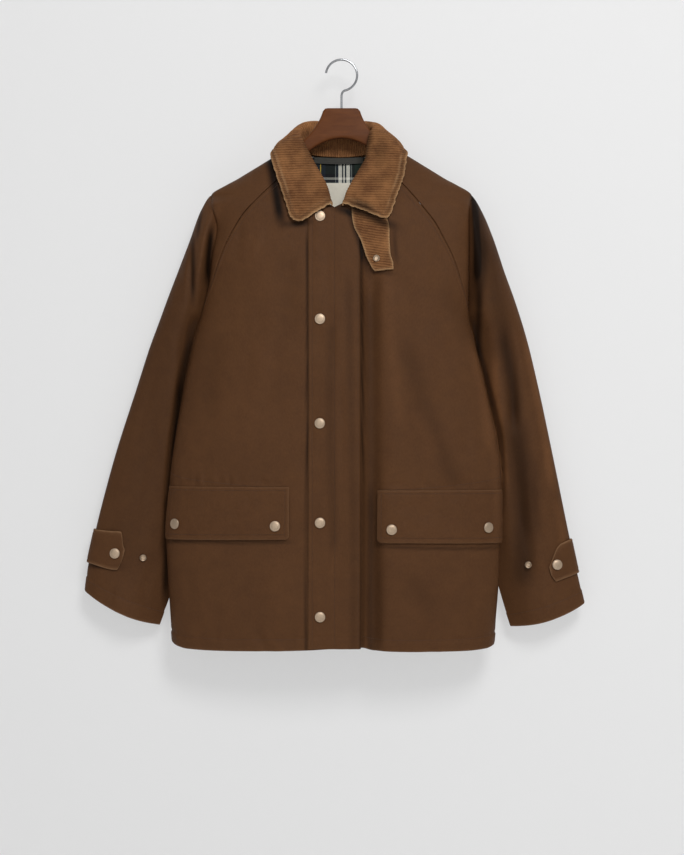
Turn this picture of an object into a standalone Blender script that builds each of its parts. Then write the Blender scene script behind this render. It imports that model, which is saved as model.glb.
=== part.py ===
"""Waxed cotton jacket with a corduroy collar, on a broad-necked hanger.

Blender 4.5, metres, +Z up. The front faces -Y and +X is the viewer's right, seen from the front.
The origin is the inside top of the hanger's hook. Tables are in millimetres. Each cloth piece is the
middle surface of its wall, worked out from the tables below, and a Solidify modifier gives the wall.
"""
import math
from typing import NamedTuple

import bmesh
import bpy
from mathutils import Vector

MM = 0.001
CLOTH = 2.0            # wall of a waxed cotton panel
DOUBLED = 2.0          # wall of a placket, flap or tab
CORDUROY = 3.0         # wall of the doubled corduroy
SEAM = 0.3             # clearance between two pieces
EDGE = 0.32            # how far a panel's edge stops short of its seam line
CENTRE_FRONT = -11.0   # the two fronts meet here, under the placket
NECK_FRONT_Z = -240.0
ARM_ROWS = 8           # rows from the neck to the underarm
LOW_ROWS = 10          # rows of a body panel from the underarm to the hem
SLEEVE_ROWS = 15       # rows of a sleeve from the neck to the cuff
UNDERARM_Z = -403.0     # the raglan seams and the side seams meet here
UNDERARM_FRONT_Z = -440.0   # centre front at the same row of a front
SIDE_X = 270.0         # about where the side seams meet the hem
SIDE_CLEAR = 5.0       # between the trunk's side and a sleeve that passes behind it
CUFF_SAG_FRONT, CUFF_SAG_BACK = 8.0, 2.0   # how far the cuff's edge bows down in front and behind


class Body(NamedTuple):
    """One level of the trunk: half widths, depths, and where its front and back surfaces end."""
    z: float
    left: float
    right: float
    front: float
    back: float
    rim_left: float
    rim_right: float
    rim_back: float
    power_left: float
    power_right: float


BODY = (
    Body(-120, 52, 51, 9, 16, 0, 0, 0, 2.4, 2.4),
    Body(-136, 77, 77, 15, 22, 0, 0, 0, 2.4, 2.4),
    Body(-150, 99.8, 99.9, 22, 29, 0, 0, 0, 2.4, 2.4),
    Body(-165, 124, 124.4, 28, 31, 0, 0, 0, 2.3, 2.3),
    Body(-190, 165, 165.3, 37, 32, 0, 0, 0, 2.2, 2.2),
    Body(-216, 207, 207.5, 45, 33, 0, 0, 0, 2.2, 2.2),
    Body(-235, 205, 202.5, 50, 33, -20, -15, 19, 2.1, 2.3),
    Body(-270, 197, 201.5, 55, 33, -18, -22, 20, 2.0, 2.6),
    Body(-310, 204.6, 201.5, 60, 33, -15, -18, 15, 2.0, 2.8),
    Body(-355, 211, 201.5, 63, 34, -8, -10, 8, 2.0, 3.0),
    Body(-403, 222, 201.5, 66, 34, 0, 0, 0, 2.0, 3.0),
    Body(-442, 233.7, 209, 67, 35, 0, 0, 0, 2.0, 3.0),
    Body(-496, 245.4, 222, 68, 35, -1, -1, -1, 2.0, 3.0),
    Body(-543, 254, 232.6, 68, 36, -2, -2, -2, 2.0, 3.0),
    Body(-607, 264.6, 247, 69, 36, -3, -3, -3, 2.1, 3.0),
    Body(-671, 272.8, 254, 70, 36, -4, -4, -4, 2.2, 3.0),
    Body(-759, 278.2, 251.8, 70, 36, -5, -5, -5, 2.3, 3.0),
    Body(-831, 275, 249.4, 70, 36, -5, -5, -5, 2.3, 3.0),
    Body(-895, 271, 244.6, 70, 35, -5, -5, -5, 2.3, 3.0),
    Body(-940, 268, 241.5, 69, 34, -5, -5, -5, 2.3, 3.0),
)


class Sleeve(NamedTuple):
    """One ring of a sleeve: front seam or inner line, back seam, outer line, depths and fold."""
    ring: float
    seam_x: float
    seam_z: float
    back_x: float
    back_z: float
    outer_x: float
    outer_z: float
    outer_y: float
    inner_y: float
    front: float
    back: float
    fold_at: float


SLEEVE_RIGHT = (
    Sleeve(0, 59, -168, 54, -146, 70, -131.5, 0, 0, 0, 0, 0.6),
    Sleeve(1, 100, -205, 88, -176, 112, -157, 0, 0, 0, 0, 0.6),
    Sleeve(2, 127, -237, 114, -206, 150, -180.6, 0, 0, 0, 0, 0.6),
    Sleeve(3, 147, -263, 133, -234, 182, -200.2, 0, 0, 0, 0, 0.6),
    Sleeve(4, 161, -288, 149, -262, 207.5, -216, 0, 0, 0, 0, 0.6),
    Sleeve(5, 176, -318, 165, -295, 224.5, -243, 1, 0, 19, 16, 0.6),
    Sleeve(6, 187, -349, 181, -336, 242, -284, 3, 0, 25, 20, 0.3),
    Sleeve(7, 195, -376, 193, -371, 261, -340, 5, 0, 28, 22, 0.15),
    Sleeve(8, 205.5, -405, 205.5, -405, 276, -381, 6, 2, 28, 22, 0.12),
    Sleeve(9, 208.5, -440, 208.5, -440, 290, -424, 7, 15, 28, 22, 0.12),
    Sleeve(10, 209, -480, 209, -480, 299, -455, 9, 21, 28, 22, 0.12),
    Sleeve(11, 213, -560, 213, -560, 317, -530, 12, 24, 27, 22, 0.12),
    Sleeve(12, 223, -670, 223, -670, 340, -638, 14, 26, 25, 21, 0.12),
    Sleeve(13, 241, -790, 241, -790, 364.5, -757, 16, 25, 24, 21, 0.12),
    Sleeve(14, 262, -870, 262, -870, 381, -832, 18, 22, 25, 22, 0.12),
    Sleeve(15, 273.4, -906.5, 273.4, -906.5, 390, -869, 18, 20, 25, 22, 0.12),
)
SLEEVE_LEFT = (
    Sleeve(0, 71, -168, 62, -147, 80, -137.5, 0, 0, 0, 0, 0.6),
    Sleeve(1, 112, -204, 96, -178, 119, -161.6, 0, 0, 0, 0, 0.6),
    Sleeve(2, 138, -230, 122, -208, 154, -183.2, 0, 0, 0, 0, 0.6),
    Sleeve(3, 156, -250, 141, -236, 185, -202.2, 0, 0, 0, 0, 0.6),
    Sleeve(4, 172, -275, 158, -264, 209, -216.4, 0, 0, 0, 0, 0.6),
    Sleeve(5, 186, -302, 175, -297, 224, -240, 1, 0, 19, 16, 0.6),
    Sleeve(6, 199, -336, 192, -338, 243.5, -292, 3, 0, 25, 20, 0.3),
    Sleeve(7, 210, -370, 207, -372, 262, -340, 5, 0, 28, 22, 0.15),
    Sleeve(8, 226, -405, 226, -405, 277.5, -380, 6, 2, 28, 22, 0.12),
    Sleeve(9, 229.5, -440, 229.5, -440, 293, -422, 7, 15, 28, 22, 0.12),
    Sleeve(10, 229, -480, 229, -480, 305.5, -455, 9, 21, 28, 22, 0.12),
    Sleeve(11, 229, -560, 229, -560, 330, -530, 12, 24, 27, 22, 0.12),
    Sleeve(12, 236, -670, 236, -670, 364, -636, 14, 26, 25, 21, 0.12),
    Sleeve(13, 256, -790, 256, -790, 394, -750, 16, 25, 24, 21, 0.12),
    Sleeve(14, 281, -868, 281, -868, 408, -816, 18, 22, 25, 22, 0.12),
    Sleeve(15, 294.2, -904, 294.2, -904, 412, -849, 18, 20, 25, 22, 0.12),
)


class Neck(NamedTuple):
    """The neckline of one front, from centre front to the raglan seam."""
    share: float
    x: float
    z: float


NECK_RIGHT = (Neck(0, -11, -240), Neck(0.4, 14, -226), Neck(0.7, 38, -201), Neck(1, 59, -168))
NECK_LEFT = (Neck(0, -11, -240), Neck(0.4, -32, -226), Neck(0.7, -53, -200), Neck(1, -71, -168))
NECK_BACK = (Neck(0, -62, -147), Neck(0.25, -32, -151.5), Neck(0.5, 0, -153), Neck(0.75, 28, -151),
             Neck(1, 54, -146))


class Hem(NamedTuple):
    """Height of the hem across the jacket."""
    x: float
    z: float


HEM = (
    Hem(-272, -926), Hem(-260, -932.5), Hem(-243, -936), Hem(-191, -937.5), Hem(-114, -937),
    Hem(-53, -935.3), Hem(-15, -933), Hem(28, -931), Hem(50, -936), Hem(116, -938), Hem(193, -937.5),
    Hem(228, -935), Hem(243, -930),
)


class Fold(NamedTuple):
    """A soft trough between two places on the front, in the garment's upright plane."""
    x0: float
    z0: float
    x1: float
    z1: float
    half_width: float
    depth: float


FRONT_FOLDS = (
    Fold(47, -300, 51, -960, 19, 7),
    Fold(255, -380, 276, -610, 15, 4),
    Fold(285, -640, 289, -785, 18, 3.5),
    Fold(-229, -262, -243, -420, 13, 3),
)


class CollarRow(NamedTuple):
    """One section of the collar: at the neck seam, the roll and the outer edge."""
    seam: tuple
    roll: tuple
    edge: tuple
    turn: float
    puff: float


COLLAR = (
    CollarRow((-14, -56, -238.5), (-15.5, -61, -235), (-65, -62.5, -266), 2.3, 2),
    CollarRow((-30, -52, -222), (-24, -56, -207), (-79, -59.5, -257), 3, 3),
    CollarRow((-50, -43.5, -196), (-36, -44, -182), (-90, -52, -226), 4, 4),
    CollarRow((-69, -25, -165), (-51, -24, -153), (-105, -34, -182), 4.5, 4),
    CollarRow((-77.5, -10.5, -140), (-62, -12, -129), (-113, -17, -153.5), 4.5, 7),
    CollarRow((-79.5, 0, -135.5), (-67, 1, -115), (-113.5, -3, -149.5), 4.5, 5),
    CollarRow((-77, 8, -138), (-67, 9, -109), (-112, 6, -150), 4.5, 5),
    CollarRow((-62, 20, -146), (-56, 25, -95), (-97, 25, -156), 5, 5),
    CollarRow((-34, 27.5, -150), (-34, 34, -91), (-55, 36, -167), 5, 4),
    CollarRow((-3, 29.5, -151.5), (-4, 36, -90), (-4, 40, -172), 5, 4),
    CollarRow((27, 27.5, -150), (24, 34, -91), (48, 36, -167), 5, 4),
    CollarRow((54, 20, -145), (42, 25, -94), (90, 25, -156), 5, 5),
    CollarRow((68, 9, -132.5), (50, 8, -100), (103, 7, -147.5), 4.5, 5),
    CollarRow((70, 0, -130), (51, -6, -107), (105, -4, -147.5), 3.5, 5),
    CollarRow((69, -6.5, -132.5), (45, -16, -117), (105.5, -11, -150), 4.0, 7),
    CollarRow((67, -12, -137), (42, -18, -131), (104.5, -19, -153), 4.5, 9),
    CollarRow((58, -25, -165), (39, -27, -156), (99, -37.5, -186), 4.5, 5),
    CollarRow((37, -43.5, -196.5), (25, -45, -186), (87.5, -53, -221), 4, 4),
    CollarRow((15, -52, -223), (11, -56, -212), (74, -61, -257), 3, 3),
    CollarRow((2, -56, -238.5), (2, -61, -235), (67, -64, -260), 2.3, 2),
)


class Strip(NamedTuple):
    """Left and right edge of a strip that lies on the front, at one level."""
    left_x: float
    left_z: float
    right_x: float
    right_z: float


THROAT_TAB = (
    Strip(15, -228, 60, -232), Strip(16.5, -254, 70.6, -257), Strip(19, -271, 75, -274),
    Strip(29, -292, 75.4, -294), Strip(36, -313, 76.5, -313), Strip(45.5, -332, 81, -331),
    Strip(52.5, -342, 81, -339),
)
PLACKET_LEFT, PLACKET_RIGHT = -52.0, 29.0
PLACKET_TOP, PLACKET_BOTTOM = -241.0, -933.0
FLAP_TOP, FLAP_DEPTH = -680.0, 82.0
FLAP_INNER = {-1: 82.0, 1: 57.0}
FLAP_DROP = {-1: 0.0, 1: -5.0}
FLAP_SNAP = {-1: 0.745, 1: 0.69}     # place of the outer snap across a flap, 0 to 1
FLAP_RUN = {-1: 0.992, 1: 0.994}     # how far round to the side, as a share of the half width

SNAP_RADIUS, SNAP_HEIGHT = 8.2, 3.6
STUD_RADIUS, STUD_HEIGHT = 5.6, 2.6
PLACKET_SNAPS = (-255.0, -417.0, -580.0, -735.5, -882.6)
PLACKET_SNAP_X = -33.5

HOOK_WIRE, HOOK_RADIUS = 1.9, 25.0
HANGER_THICK, HANGER_ROUND = 11.0, 4.0
HANGER_NECK, HANGER_TOP_Z = 28.5, -76.0
HANGER_TIP_X, RIDGE_SLOPE = 198.0, 0.613
RIDGE_X, RIDGE_Z = 78.0, -139.3      # a place on the straight run of the hanger's shoulders
LINING_TOP, LINING_DROP = -162.0, 96.0
LABEL_TOP, LABEL_DROP = -192.0, 46.0
LOOP_TOP, LOOP_LOW = -150.5, -160.5
SOCKET_DEPTH = 14.0


def row_at(rows, at):
    """Row of a table at any place on its first column, by monotone cubic curves through the rows."""
    sign = 1.0 if rows[-1][0] > rows[0][0] else -1.0
    last = len(rows) - 2
    low = 0
    while low < last and sign * rows[low + 1][0] <= sign * at:
        low += 1
    span = rows[low + 1][0] - rows[low][0]
    t = min(1.0, max(0.0, (at - rows[low][0]) / span))
    values = []
    for column in range(len(rows[0])):
        rise = [secant(rows, index, column) for index in (low - 1, low, low + 1)]
        start = gentle(rise[0], rise[1]) * span
        end = gentle(rise[1], rise[2]) * span
        a, b = rows[low][column], rows[low + 1][column]
        values.append(a * (1 + 2 * t) * (1 - t) ** 2 + start * t * (1 - t) ** 2
                      + b * t * t * (3 - 2 * t) + end * t * t * (t - 1))
    return type(rows[0])(*values)


def secant(rows, index, column):
    """Slope of a column between two rows, or None past the ends of the table."""
    if index < 0 or index > len(rows) - 2:
        return None
    return (rows[index + 1][column] - rows[index][column]) / (rows[index + 1][0] - rows[index][0])


def gentle(before, after):
    """Slope at a row that makes no overshoot."""
    if before is None or after is None:
        return after if before is None else before
    if before * after <= 0:
        return 0.0
    return 2 * before * after / (before + after)


def smooth(t):
    """Ease from 0 to 1."""
    t = min(1.0, max(0.0, t))
    return t * t * (3 - 2 * t)


def fold_depth(x, z):
    """How far the troughs push the front cloth back at one place."""
    push = 0.0
    for fold in FRONT_FOLDS:
        run = Vector((fold.x1 - fold.x0, fold.z1 - fold.z0))
        here = Vector((x - fold.x0, z - fold.z0))
        along = here.dot(run) / run.length_squared
        off = abs(here.cross(run)) / run.length / fold.half_width
        if 0 < along < 1 and off < 1:
            ends = smooth(along * run.length / 90) * smooth((1 - along) * run.length / 60)
            push += fold.depth * ends * (1 + math.cos(math.pi * off)) / 2
    return push


def body_y(x, z, back=False, folded=True):
    """Depth of the trunk's front or back surface at a place in the upright plane."""
    level = row_at(BODY, z)
    half, power, rim = (level.right, level.power_right, level.rim_right) if x >= 0 else (
        level.left, level.power_left, level.rim_left)
    depth = -level.front
    if back:
        power, rim, depth = 2.2, level.rim_back, level.back
    share = min(1.0, abs(x) / half)
    swell = (1 - share ** power) ** (1 / power)
    y = rim + (depth - rim) * swell
    if not back and folded:
        y += fold_depth(x, z) * min(1.0, swell * 2)
    return y


def on_front(x, z, lift=0.0, folded=True):
    """Point of the front surface, moved out along its normal by lift."""
    step = 1.0
    at = Vector((x, body_y(x, z, folded=folded), z))
    across = Vector((x + step, body_y(x + step, z, folded=folded), z)) - Vector(
        (x - step, body_y(x - step, z, folded=folded), z))
    down = Vector((x, body_y(x, z - step, folded=folded), z - step)) - Vector(
        (x, body_y(x, z + step, folded=folded), z + step))
    normal = down.cross(across).normalized()
    if normal.y > 0:
        normal.negate()
    return at + normal * lift


def bulge(share):
    """Side view of a sleeve's front layer: a soft rise at the fold, round at the outer edge."""
    peak = 0.45
    if share < peak:
        return math.sin(math.pi / 2 * max(0.0, share) / peak) ** 1.2
    return math.sqrt(max(0.0, 1 - ((share - peak) / (1 - peak)) ** 2))


def fold_share(ring, side, seam_x, seam_z):
    """Where the straight line from a seam to the outer line crosses the side of the trunk."""
    low, high = 0.0, 1.0
    for _ in range(30):
        middle = (low + high) / 2
        z = seam_z + (ring.outer_z - seam_z) * middle
        x = seam_x + (ring.outer_x - seam_x) * middle
        if x < trunk_half(side, z):
            low = middle
        else:
            high = middle
    return high


def trunk_half(side, z):
    """Half width of the trunk on one side."""
    level = row_at(BODY, z)
    return level.left if side < 0 else level.right


def behind_trunk(side, x, z, clear):
    """How far forward a sleeve may come where it passes behind the trunk's side."""
    half = trunk_half(side, z)
    limit = body_y(side * max(0.0, min(x, half) - SIDE_CLEAR), z, back=True) + SIDE_CLEAR * clear
    return limit - 2.0 * max(0.0, x - half - SIDE_CLEAR)


def sleeve_point(side, place, around):
    """Point of a sleeve's wall: place runs from neck 0 to cuff 15, around from front -1 to back 1."""
    ring = row_at(SLEEVE_RIGHT if side > 0 else SLEEVE_LEFT, place)
    back = around > 0
    seam_x, seam_z = (ring.back_x, ring.back_z) if back else (ring.seam_x, ring.seam_z)
    share = 1 - abs(around)
    x = seam_x + (ring.outer_x - seam_x) * share
    z = seam_z + (ring.outer_z - seam_z) * share
    if place <= ARM_ROWS:
        crossing = fold_share(ring, side, seam_x, seam_z)
        if share <= crossing:
            return Vector((side * x, body_y(side * x, z, back), z))
        rim_z = seam_z + (ring.outer_z - seam_z) * crossing
        level = row_at(BODY, rim_z)
        start = level.rim_back if back else (level.rim_right if side > 0 else level.rim_left)
        share = (share - crossing) / (1 - crossing)
        if place == ARM_ROWS:
            start = ring.inner_y
    else:
        start = ring.inner_y
    if place > ARM_ROWS - 1:
        start += (ring.inner_y - start) * min(1.0, place - ARM_ROWS + 1)
    if back:
        y = start + (ring.outer_y - start) * share + ring.back * (1 - abs(2 * share - 1) ** 2.2) ** (1 / 2.2)
    else:
        y = start + (ring.outer_y - start) * share - ring.front * bulge(share) + fold_depth(side * x, z)
        if place > ARM_ROWS:
            y = max(y, behind_trunk(side, x, z, smooth(place - ARM_ROWS)))
    if place > SLEEVE_ROWS - 1:
        sag = 4 * abs(around) * (1 - abs(around))
        z -= sag * (place - SLEEVE_ROWS + 1) * (CUFF_SAG_BACK if back else CUFF_SAG_FRONT)
    return Vector((side * x, y, z))


def coons(top, bottom, near, far, s, r):
    """Blend of four edge curves, each given as a function that returns an (x, z) pair."""
    lines = [(1 - r), top(s), r, bottom(s), (1 - s), near(r), s, far(r)]
    place = Vector((0.0, 0.0))
    for weight, point in zip(lines[0::2], lines[1::2]):
        place += weight * Vector(point)
    corners = ((1 - s) * (1 - r), top(0)), (s * (1 - r), top(1)), ((1 - s) * r, bottom(0)), (s * r, bottom(1))
    for weight, point in corners:
        place -= weight * Vector(point)
    return place


def side_line(side, row, back=False):
    """Edge of a body panel at a row: the raglan seam down to the underarm, then the side seam."""
    if row <= ARM_ROWS:
        ring = row_at(SLEEVE_RIGHT if side > 0 else SLEEVE_LEFT, row)
        if row > ARM_ROWS - 1:
            tip = (side * trunk_half(side, UNDERARM_Z), UNDERARM_Z)
            before = row_at(SLEEVE_RIGHT if side > 0 else SLEEVE_LEFT, ARM_ROWS - 1)
            start = (before.back_x, before.back_z) if back else (before.seam_x, before.seam_z)
            t = row - (ARM_ROWS - 1)
            return (side * start[0] * (1 - t) + tip[0] * t, start[1] * (1 - t) + tip[1] * t)
        return (side * ring.back_x, ring.back_z) if back else (side * ring.seam_x, ring.seam_z)
    z = UNDERARM_Z + (row_at(HEM, side * SIDE_X).z - UNDERARM_Z) * (row - ARM_ROWS) / LOW_ROWS
    return (side * trunk_half(side, z), z)


def front_place(side, s, row):
    """Place in the upright plane of a front panel: s from centre front 0 to the side 1."""
    neck = NECK_RIGHT if side > 0 else NECK_LEFT
    rows = ARM_ROWS + LOW_ROWS
    corner = side_line(side, rows)

    def near(r):
        row_here = r * rows
        if row_here <= ARM_ROWS:
            return (CENTRE_FRONT, NECK_FRONT_Z + (UNDERARM_FRONT_Z - NECK_FRONT_Z) * row_here / ARM_ROWS)
        t = (row_here - ARM_ROWS) / LOW_ROWS
        return (CENTRE_FRONT, UNDERARM_FRONT_Z + (row_at(HEM, CENTRE_FRONT).z - UNDERARM_FRONT_Z) * t)

    def bottom(t):
        x = CENTRE_FRONT + (corner[0] - CENTRE_FRONT) * t
        return (x, row_at(HEM, x).z)

    def top(t):
        point = row_at(neck, t)
        return (point.x, point.z)

    return coons(top, bottom, near, lambda r: side_line(side, r * rows), s, row / rows)


def back_place(s, row):
    """Place in the upright plane of the back panel: s from the left side 0 to the right side 1."""
    rows = ARM_ROWS + LOW_ROWS
    left, right = side_line(-1, rows), side_line(1, rows)

    def top(t):
        point = row_at(NECK_BACK, t)
        return (point.x, point.z)

    def bottom(t):
        x = left[0] + (right[0] - left[0]) * t
        return (x, row_at(HEM, x).z)

    return coons(top, bottom, lambda r: side_line(-1, r * rows, True),
                 lambda r: side_line(1, r * rows, True), s, row / rows)


def finish(name, colour, roughness, metallic=0.0):
    """A plain Principled material."""
    material = bpy.data.materials.get(name) or bpy.data.materials.new(name)
    material.use_nodes = True
    shader = material.node_tree.nodes["Principled BSDF"]
    shader.inputs["Base Color"].default_value = (*colour, 1.0)
    shader.inputs["Roughness"].default_value = roughness
    shader.inputs["Metallic"].default_value = metallic
    return material


def waxed():
    """The brown waxed cotton."""
    return finish("waxed cotton", (0.088, 0.042, 0.021), 0.6)


def corduroy():
    """The tan corduroy."""
    return finish("tan corduroy", (0.26, 0.11, 0.036), 0.85)


def snap_metal():
    """The champagne-coloured snap caps."""
    return finish("snap metal", (0.72, 0.6, 0.44), 0.3, 1.0)


def add_object(name, mesh, material):
    """Put a mesh into the jacket's collection under its own name."""
    mesh.materials.append(material)
    item = bpy.data.objects.new(name, mesh)
    COLLECTION.objects.link(item)
    return item


def pull_edges(grid, closed=False, near=EDGE, far=EDGE, top=EDGE, bottom=0.0):
    """Move the border points of a grid of points inwards, so that neighbours stay clear."""
    moved = [list(row) for row in grid]
    for j, row in enumerate(grid):
        if not closed:
            moved[j][0] = row[0] + (row[1] - row[0]).normalized() * near
            moved[j][-1] = row[-1] + (row[-2] - row[-1]).normalized() * far
    for i in range(len(grid[0])):
        moved[0][i] = moved[0][i] + (moved[1][i] - moved[0][i]).normalized() * top
        moved[-1][i] = moved[-1][i] + (moved[-2][i] - moved[-1][i]).normalized() * bottom
    return moved


def cloth(name, grid, wall, material, weld_from=None):
    """A piece of cloth: a grid of its middle surface, in millimetres, with a Solidify wall.

    The first and last columns are one from row weld_from on, which closes a sleeve into a tube.
    """
    bm = bmesh.new()
    rows = []
    for j, row in enumerate(grid):
        verts = [bm.verts.new(point * MM) for point in row]
        if weld_from is not None and j >= weld_from:
            bm.verts.remove(verts[-1])
            verts[-1] = verts[0]
        rows.append(verts)
    for upper, lower in zip(rows, rows[1:]):
        for i in range(len(upper) - 1):
            corners = [upper[i], lower[i], lower[i + 1], upper[i + 1]]
            bm.faces.new(list(dict.fromkeys(corners)))
    mesh = bpy.data.meshes.new(name)
    bm.to_mesh(mesh)
    bm.free()
    mesh.shade_smooth()
    item = add_object(name, mesh, material)
    wall_modifier = item.modifiers.new("wall", "SOLIDIFY")
    wall_modifier.thickness = wall * MM
    wall_modifier.offset = 0.0
    return item


def turned(name, profile, material, at, direction, steps=12):
    """A turned piece from a profile of (radius, height) pairs, its foot at a point, facing a way."""
    mesh = bpy.data.meshes.new(name)
    points = [(radius * MM, 0.0, height * MM) for radius, height in profile]
    mesh.from_pydata(points, [(i, i + 1) for i in range(len(points) - 1)], [])
    item = add_object(name, mesh, material)
    screw = item.modifiers.new("turn", "SCREW")
    screw.angle = math.tau
    screw.steps = screw.render_steps = steps
    screw.use_merge_vertices = True
    screw.merge_threshold = 0.00001
    item.location = at * MM
    item.rotation_mode = "QUATERNION"
    item.rotation_quaternion = direction.to_track_quat("Z", "Y")
    return item


def cap_profile():
    """Dome of a snap cap with a rolled rim."""
    r, h = SNAP_RADIUS, SNAP_HEIGHT
    return [(0, h), (r * 0.55, h * 0.94), (r * 0.86, h * 0.7), (r, h * 0.35), (r * 0.94, 0), (0, 0)]


def stud_profile():
    """Ring stud with a dished middle."""
    r, h = STUD_RADIUS, STUD_HEIGHT
    return [(0, h * 0.45), (r * 0.45, h * 0.45), (r * 0.6, h), (r * 0.85, h), (r, h * 0.3), (r * 0.95, 0), (0, 0)]


def spread(shares, row, start):
    """Columns of a panel at a row: past start they are even at the top and crowded at the underarm."""
    crowd = smooth(row / ARM_ROWS)
    first = shares.index(start)
    run = len(shares) - 1 - first
    return [share if i < first else
            (1 - crowd) * (start + (1 - start) * (i - first) / run) + crowd * share
            for i, share in enumerate(shares)]


def make_fronts():
    """The two fronts."""
    shares = {1: (0, 0.1, 0.17, 0.205, 0.24, 0.275, 0.31, 0.4, 0.52, 0.64, 0.76, 0.87, 0.95, 0.985, 0.997, 1),
              -1: (0, 0.12, 0.25, 0.38, 0.5, 0.62, 0.74, 0.85, 0.93, 0.98, 0.996, 1)}
    even_from = {1: 0.31, -1: 0}
    for side, name in ((-1, "front_left"), (1, "front_right")):
        grid = []
        for row in range(ARM_ROWS + LOW_ROWS + 1):
            line = []
            for s in spread(shares[side], row, even_from[side]):
                x, z = front_place(side, s, row)
                line.append(Vector((x, body_y(x, z), z)))
            grid.append(line)
        cloth(name, pull_edges(grid, far=1.7 * EDGE), CLOTH, waxed())


def make_back():
    """The back, from side seam to side seam."""
    half = (0, 0.003, 0.015, 0.05, 0.11, 0.19, 0.28, 0.36, 0.43)
    shares = half + (0.5,) + tuple(1 - s for s in reversed(half))
    grid = []
    for row in range(ARM_ROWS + LOW_ROWS + 1):
        line = []
        for s in spread(shares, row, 0):
            x, z = back_place(s, row)
            line.append(Vector((x, body_y(x, z, back=True), z)))
        grid.append(line)
    cloth("back_panel", pull_edges(grid, near=2.4 * EDGE, far=2.4 * EDGE), CLOTH, waxed())


def make_sleeves():
    """The two raglan sleeves, each a tube below the underarm."""
    for side, name in ((-1, "sleeve_left"), (1, "sleeve_right")):
        grid = []
        table = SLEEVE_RIGHT if side > 0 else SLEEVE_LEFT
        for place in range(SLEEVE_ROWS + 1):
            fold_at = row_at(table, place).fold_at
            shares = [0, fold_at / 3, fold_at * 2 / 3, fold_at]
            shares += [fold_at + (1 - fold_at) * t for t in (0.2, 0.4, 0.6, 0.78, 0.92, 0.985)]
            around = [s - 1 for s in shares] + [0] + [1 - s for s in (0.985, 0.92, 0.78, 0.62, 0.46, 0.3, 0.15)]
            around.append(1)
            grid.append([sleeve_point(side, place, a) for a in around])
        moved = pull_edges(grid[:ARM_ROWS], top=EDGE) + pull_edges(grid[ARM_ROWS:], closed=True, top=0)
        cloth(name, moved, CLOTH, waxed(), weld_from=ARM_ROWS)


def collar_section(row):
    """Points of one collar section, from the neck seam over the roll to the outer edge."""
    seam, roll, edge = Vector(row.seam), Vector(row.roll), Vector(row.edge)
    inward, outward = (seam - roll).normalized(), (edge - roll).normalized()
    middle = (inward + outward).normalized()
    across = (outward - inward).normalized()
    start = seam + (roll - seam).normalized() * (CORDUROY / 2)
    inner = roll + middle * row.turn * 0.6 - across * row.turn
    outer = roll + middle * row.turn * 0.6 + across * row.turn
    puff = across * row.puff
    return [start, start.lerp(inner, 0.6), inner, roll, outer, outer.lerp(edge, 0.3) + puff * 0.8,
            outer.lerp(edge, 0.65) + puff, edge]


def make_collar():
    """Stand and both leaves of the collar, in one folded sheet."""
    grid = [collar_section(row) for row in COLLAR]
    cloth("collar", grid, CORDUROY, corduroy())


def make_throat_tab():
    """The tab that hangs from under the right leaf."""
    lift = CLOTH / 2 + SEAM + DOUBLED + 2 * SEAM + CORDUROY / 2
    grid = []
    for strip in THROAT_TAB:
        row = []
        for step in range(4):
            x = strip.left_x + (strip.right_x - strip.left_x) * step / 3
            z = strip.left_z + (strip.right_z - strip.left_z) * step / 3
            row.append(on_front(x, z, lift, folded=False))
        grid.append(row)
    cloth("throat_tab", grid, CORDUROY, corduroy())
    x, z = 55.0, -322.0
    foot = on_front(x, z, lift + CORDUROY / 2 + SEAM, folded=False)
    turned("throat_stud", stud_profile(), snap_metal(), foot, face_of(x, z))


def face_of(x, z):
    """Way that the front surface faces at a place."""
    return (on_front(x, z, 1.0, folded=False) - on_front(x, z, folded=False)).normalized()


def make_placket():
    """The storm placket and its five snaps."""
    lift = CLOTH / 2 + SEAM + DOUBLED / 2 + 0.15
    count = 18
    grid = []
    for row in range(count + 1):
        z = PLACKET_TOP + (PLACKET_BOTTOM - PLACKET_TOP) * row / count
        xs = [PLACKET_LEFT + (PLACKET_RIGHT - PLACKET_LEFT) * step / 5 for step in range(6)]
        grid.append([on_front(x, z, lift) for x in xs])
    cloth("storm_placket", grid, DOUBLED, waxed())
    for number, z in enumerate(PLACKET_SNAPS, 1):
        foot = on_front(PLACKET_SNAP_X, z, lift + DOUBLED / 2 + SEAM)
        turned(f"placket_snap_{number}", cap_profile(), snap_metal(), foot, face_of(PLACKET_SNAP_X, z))


def flap_x(side, share, z):
    """Place across a pocket flap, crowded towards the side where the trunk turns."""
    end = trunk_half(side, z) * FLAP_RUN[side]
    return side * (FLAP_INNER[side] + (end - FLAP_INNER[side]) * math.sin(math.pi / 2 * share))


def make_flaps():
    """The pocket flaps, with two snaps each."""
    lift = CLOTH / 2 + SEAM + DOUBLED / 2 + 0.35
    for side, name in ((-1, "left"), (1, "right")):
        grid = []
        for row in range(5):
            z = FLAP_TOP + FLAP_DROP[side] - FLAP_DEPTH * row / 4
            grid.append([on_front(flap_x(side, step / 9, z), z, lift, folded=False) for step in range(10)])
        cloth(f"pocket_flap_{name}", grid, DOUBLED, waxed())
        for place, share, down in (("inner", 0.07, 61), ("outer", FLAP_SNAP[side], 59)):
            z = FLAP_TOP + FLAP_DROP[side] - down
            x = flap_x(side, share, z)
            foot = on_front(x, z, lift + DOUBLED / 2 + SEAM, folded=False)
            turned(f"flap_snap_{name}_{place}", cap_profile(), snap_metal(), foot, face_of(x, z))


def sleeve_normal(side, place, around):
    """Way that a sleeve's wall faces at a place."""
    step = 0.02
    across = sleeve_point(side, place, around + step) - sleeve_point(side, place, around - step)
    down = sleeve_point(side, place + step, around) - sleeve_point(side, place - step, around)
    normal = down.cross(across).normalized() * side
    return normal


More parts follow.
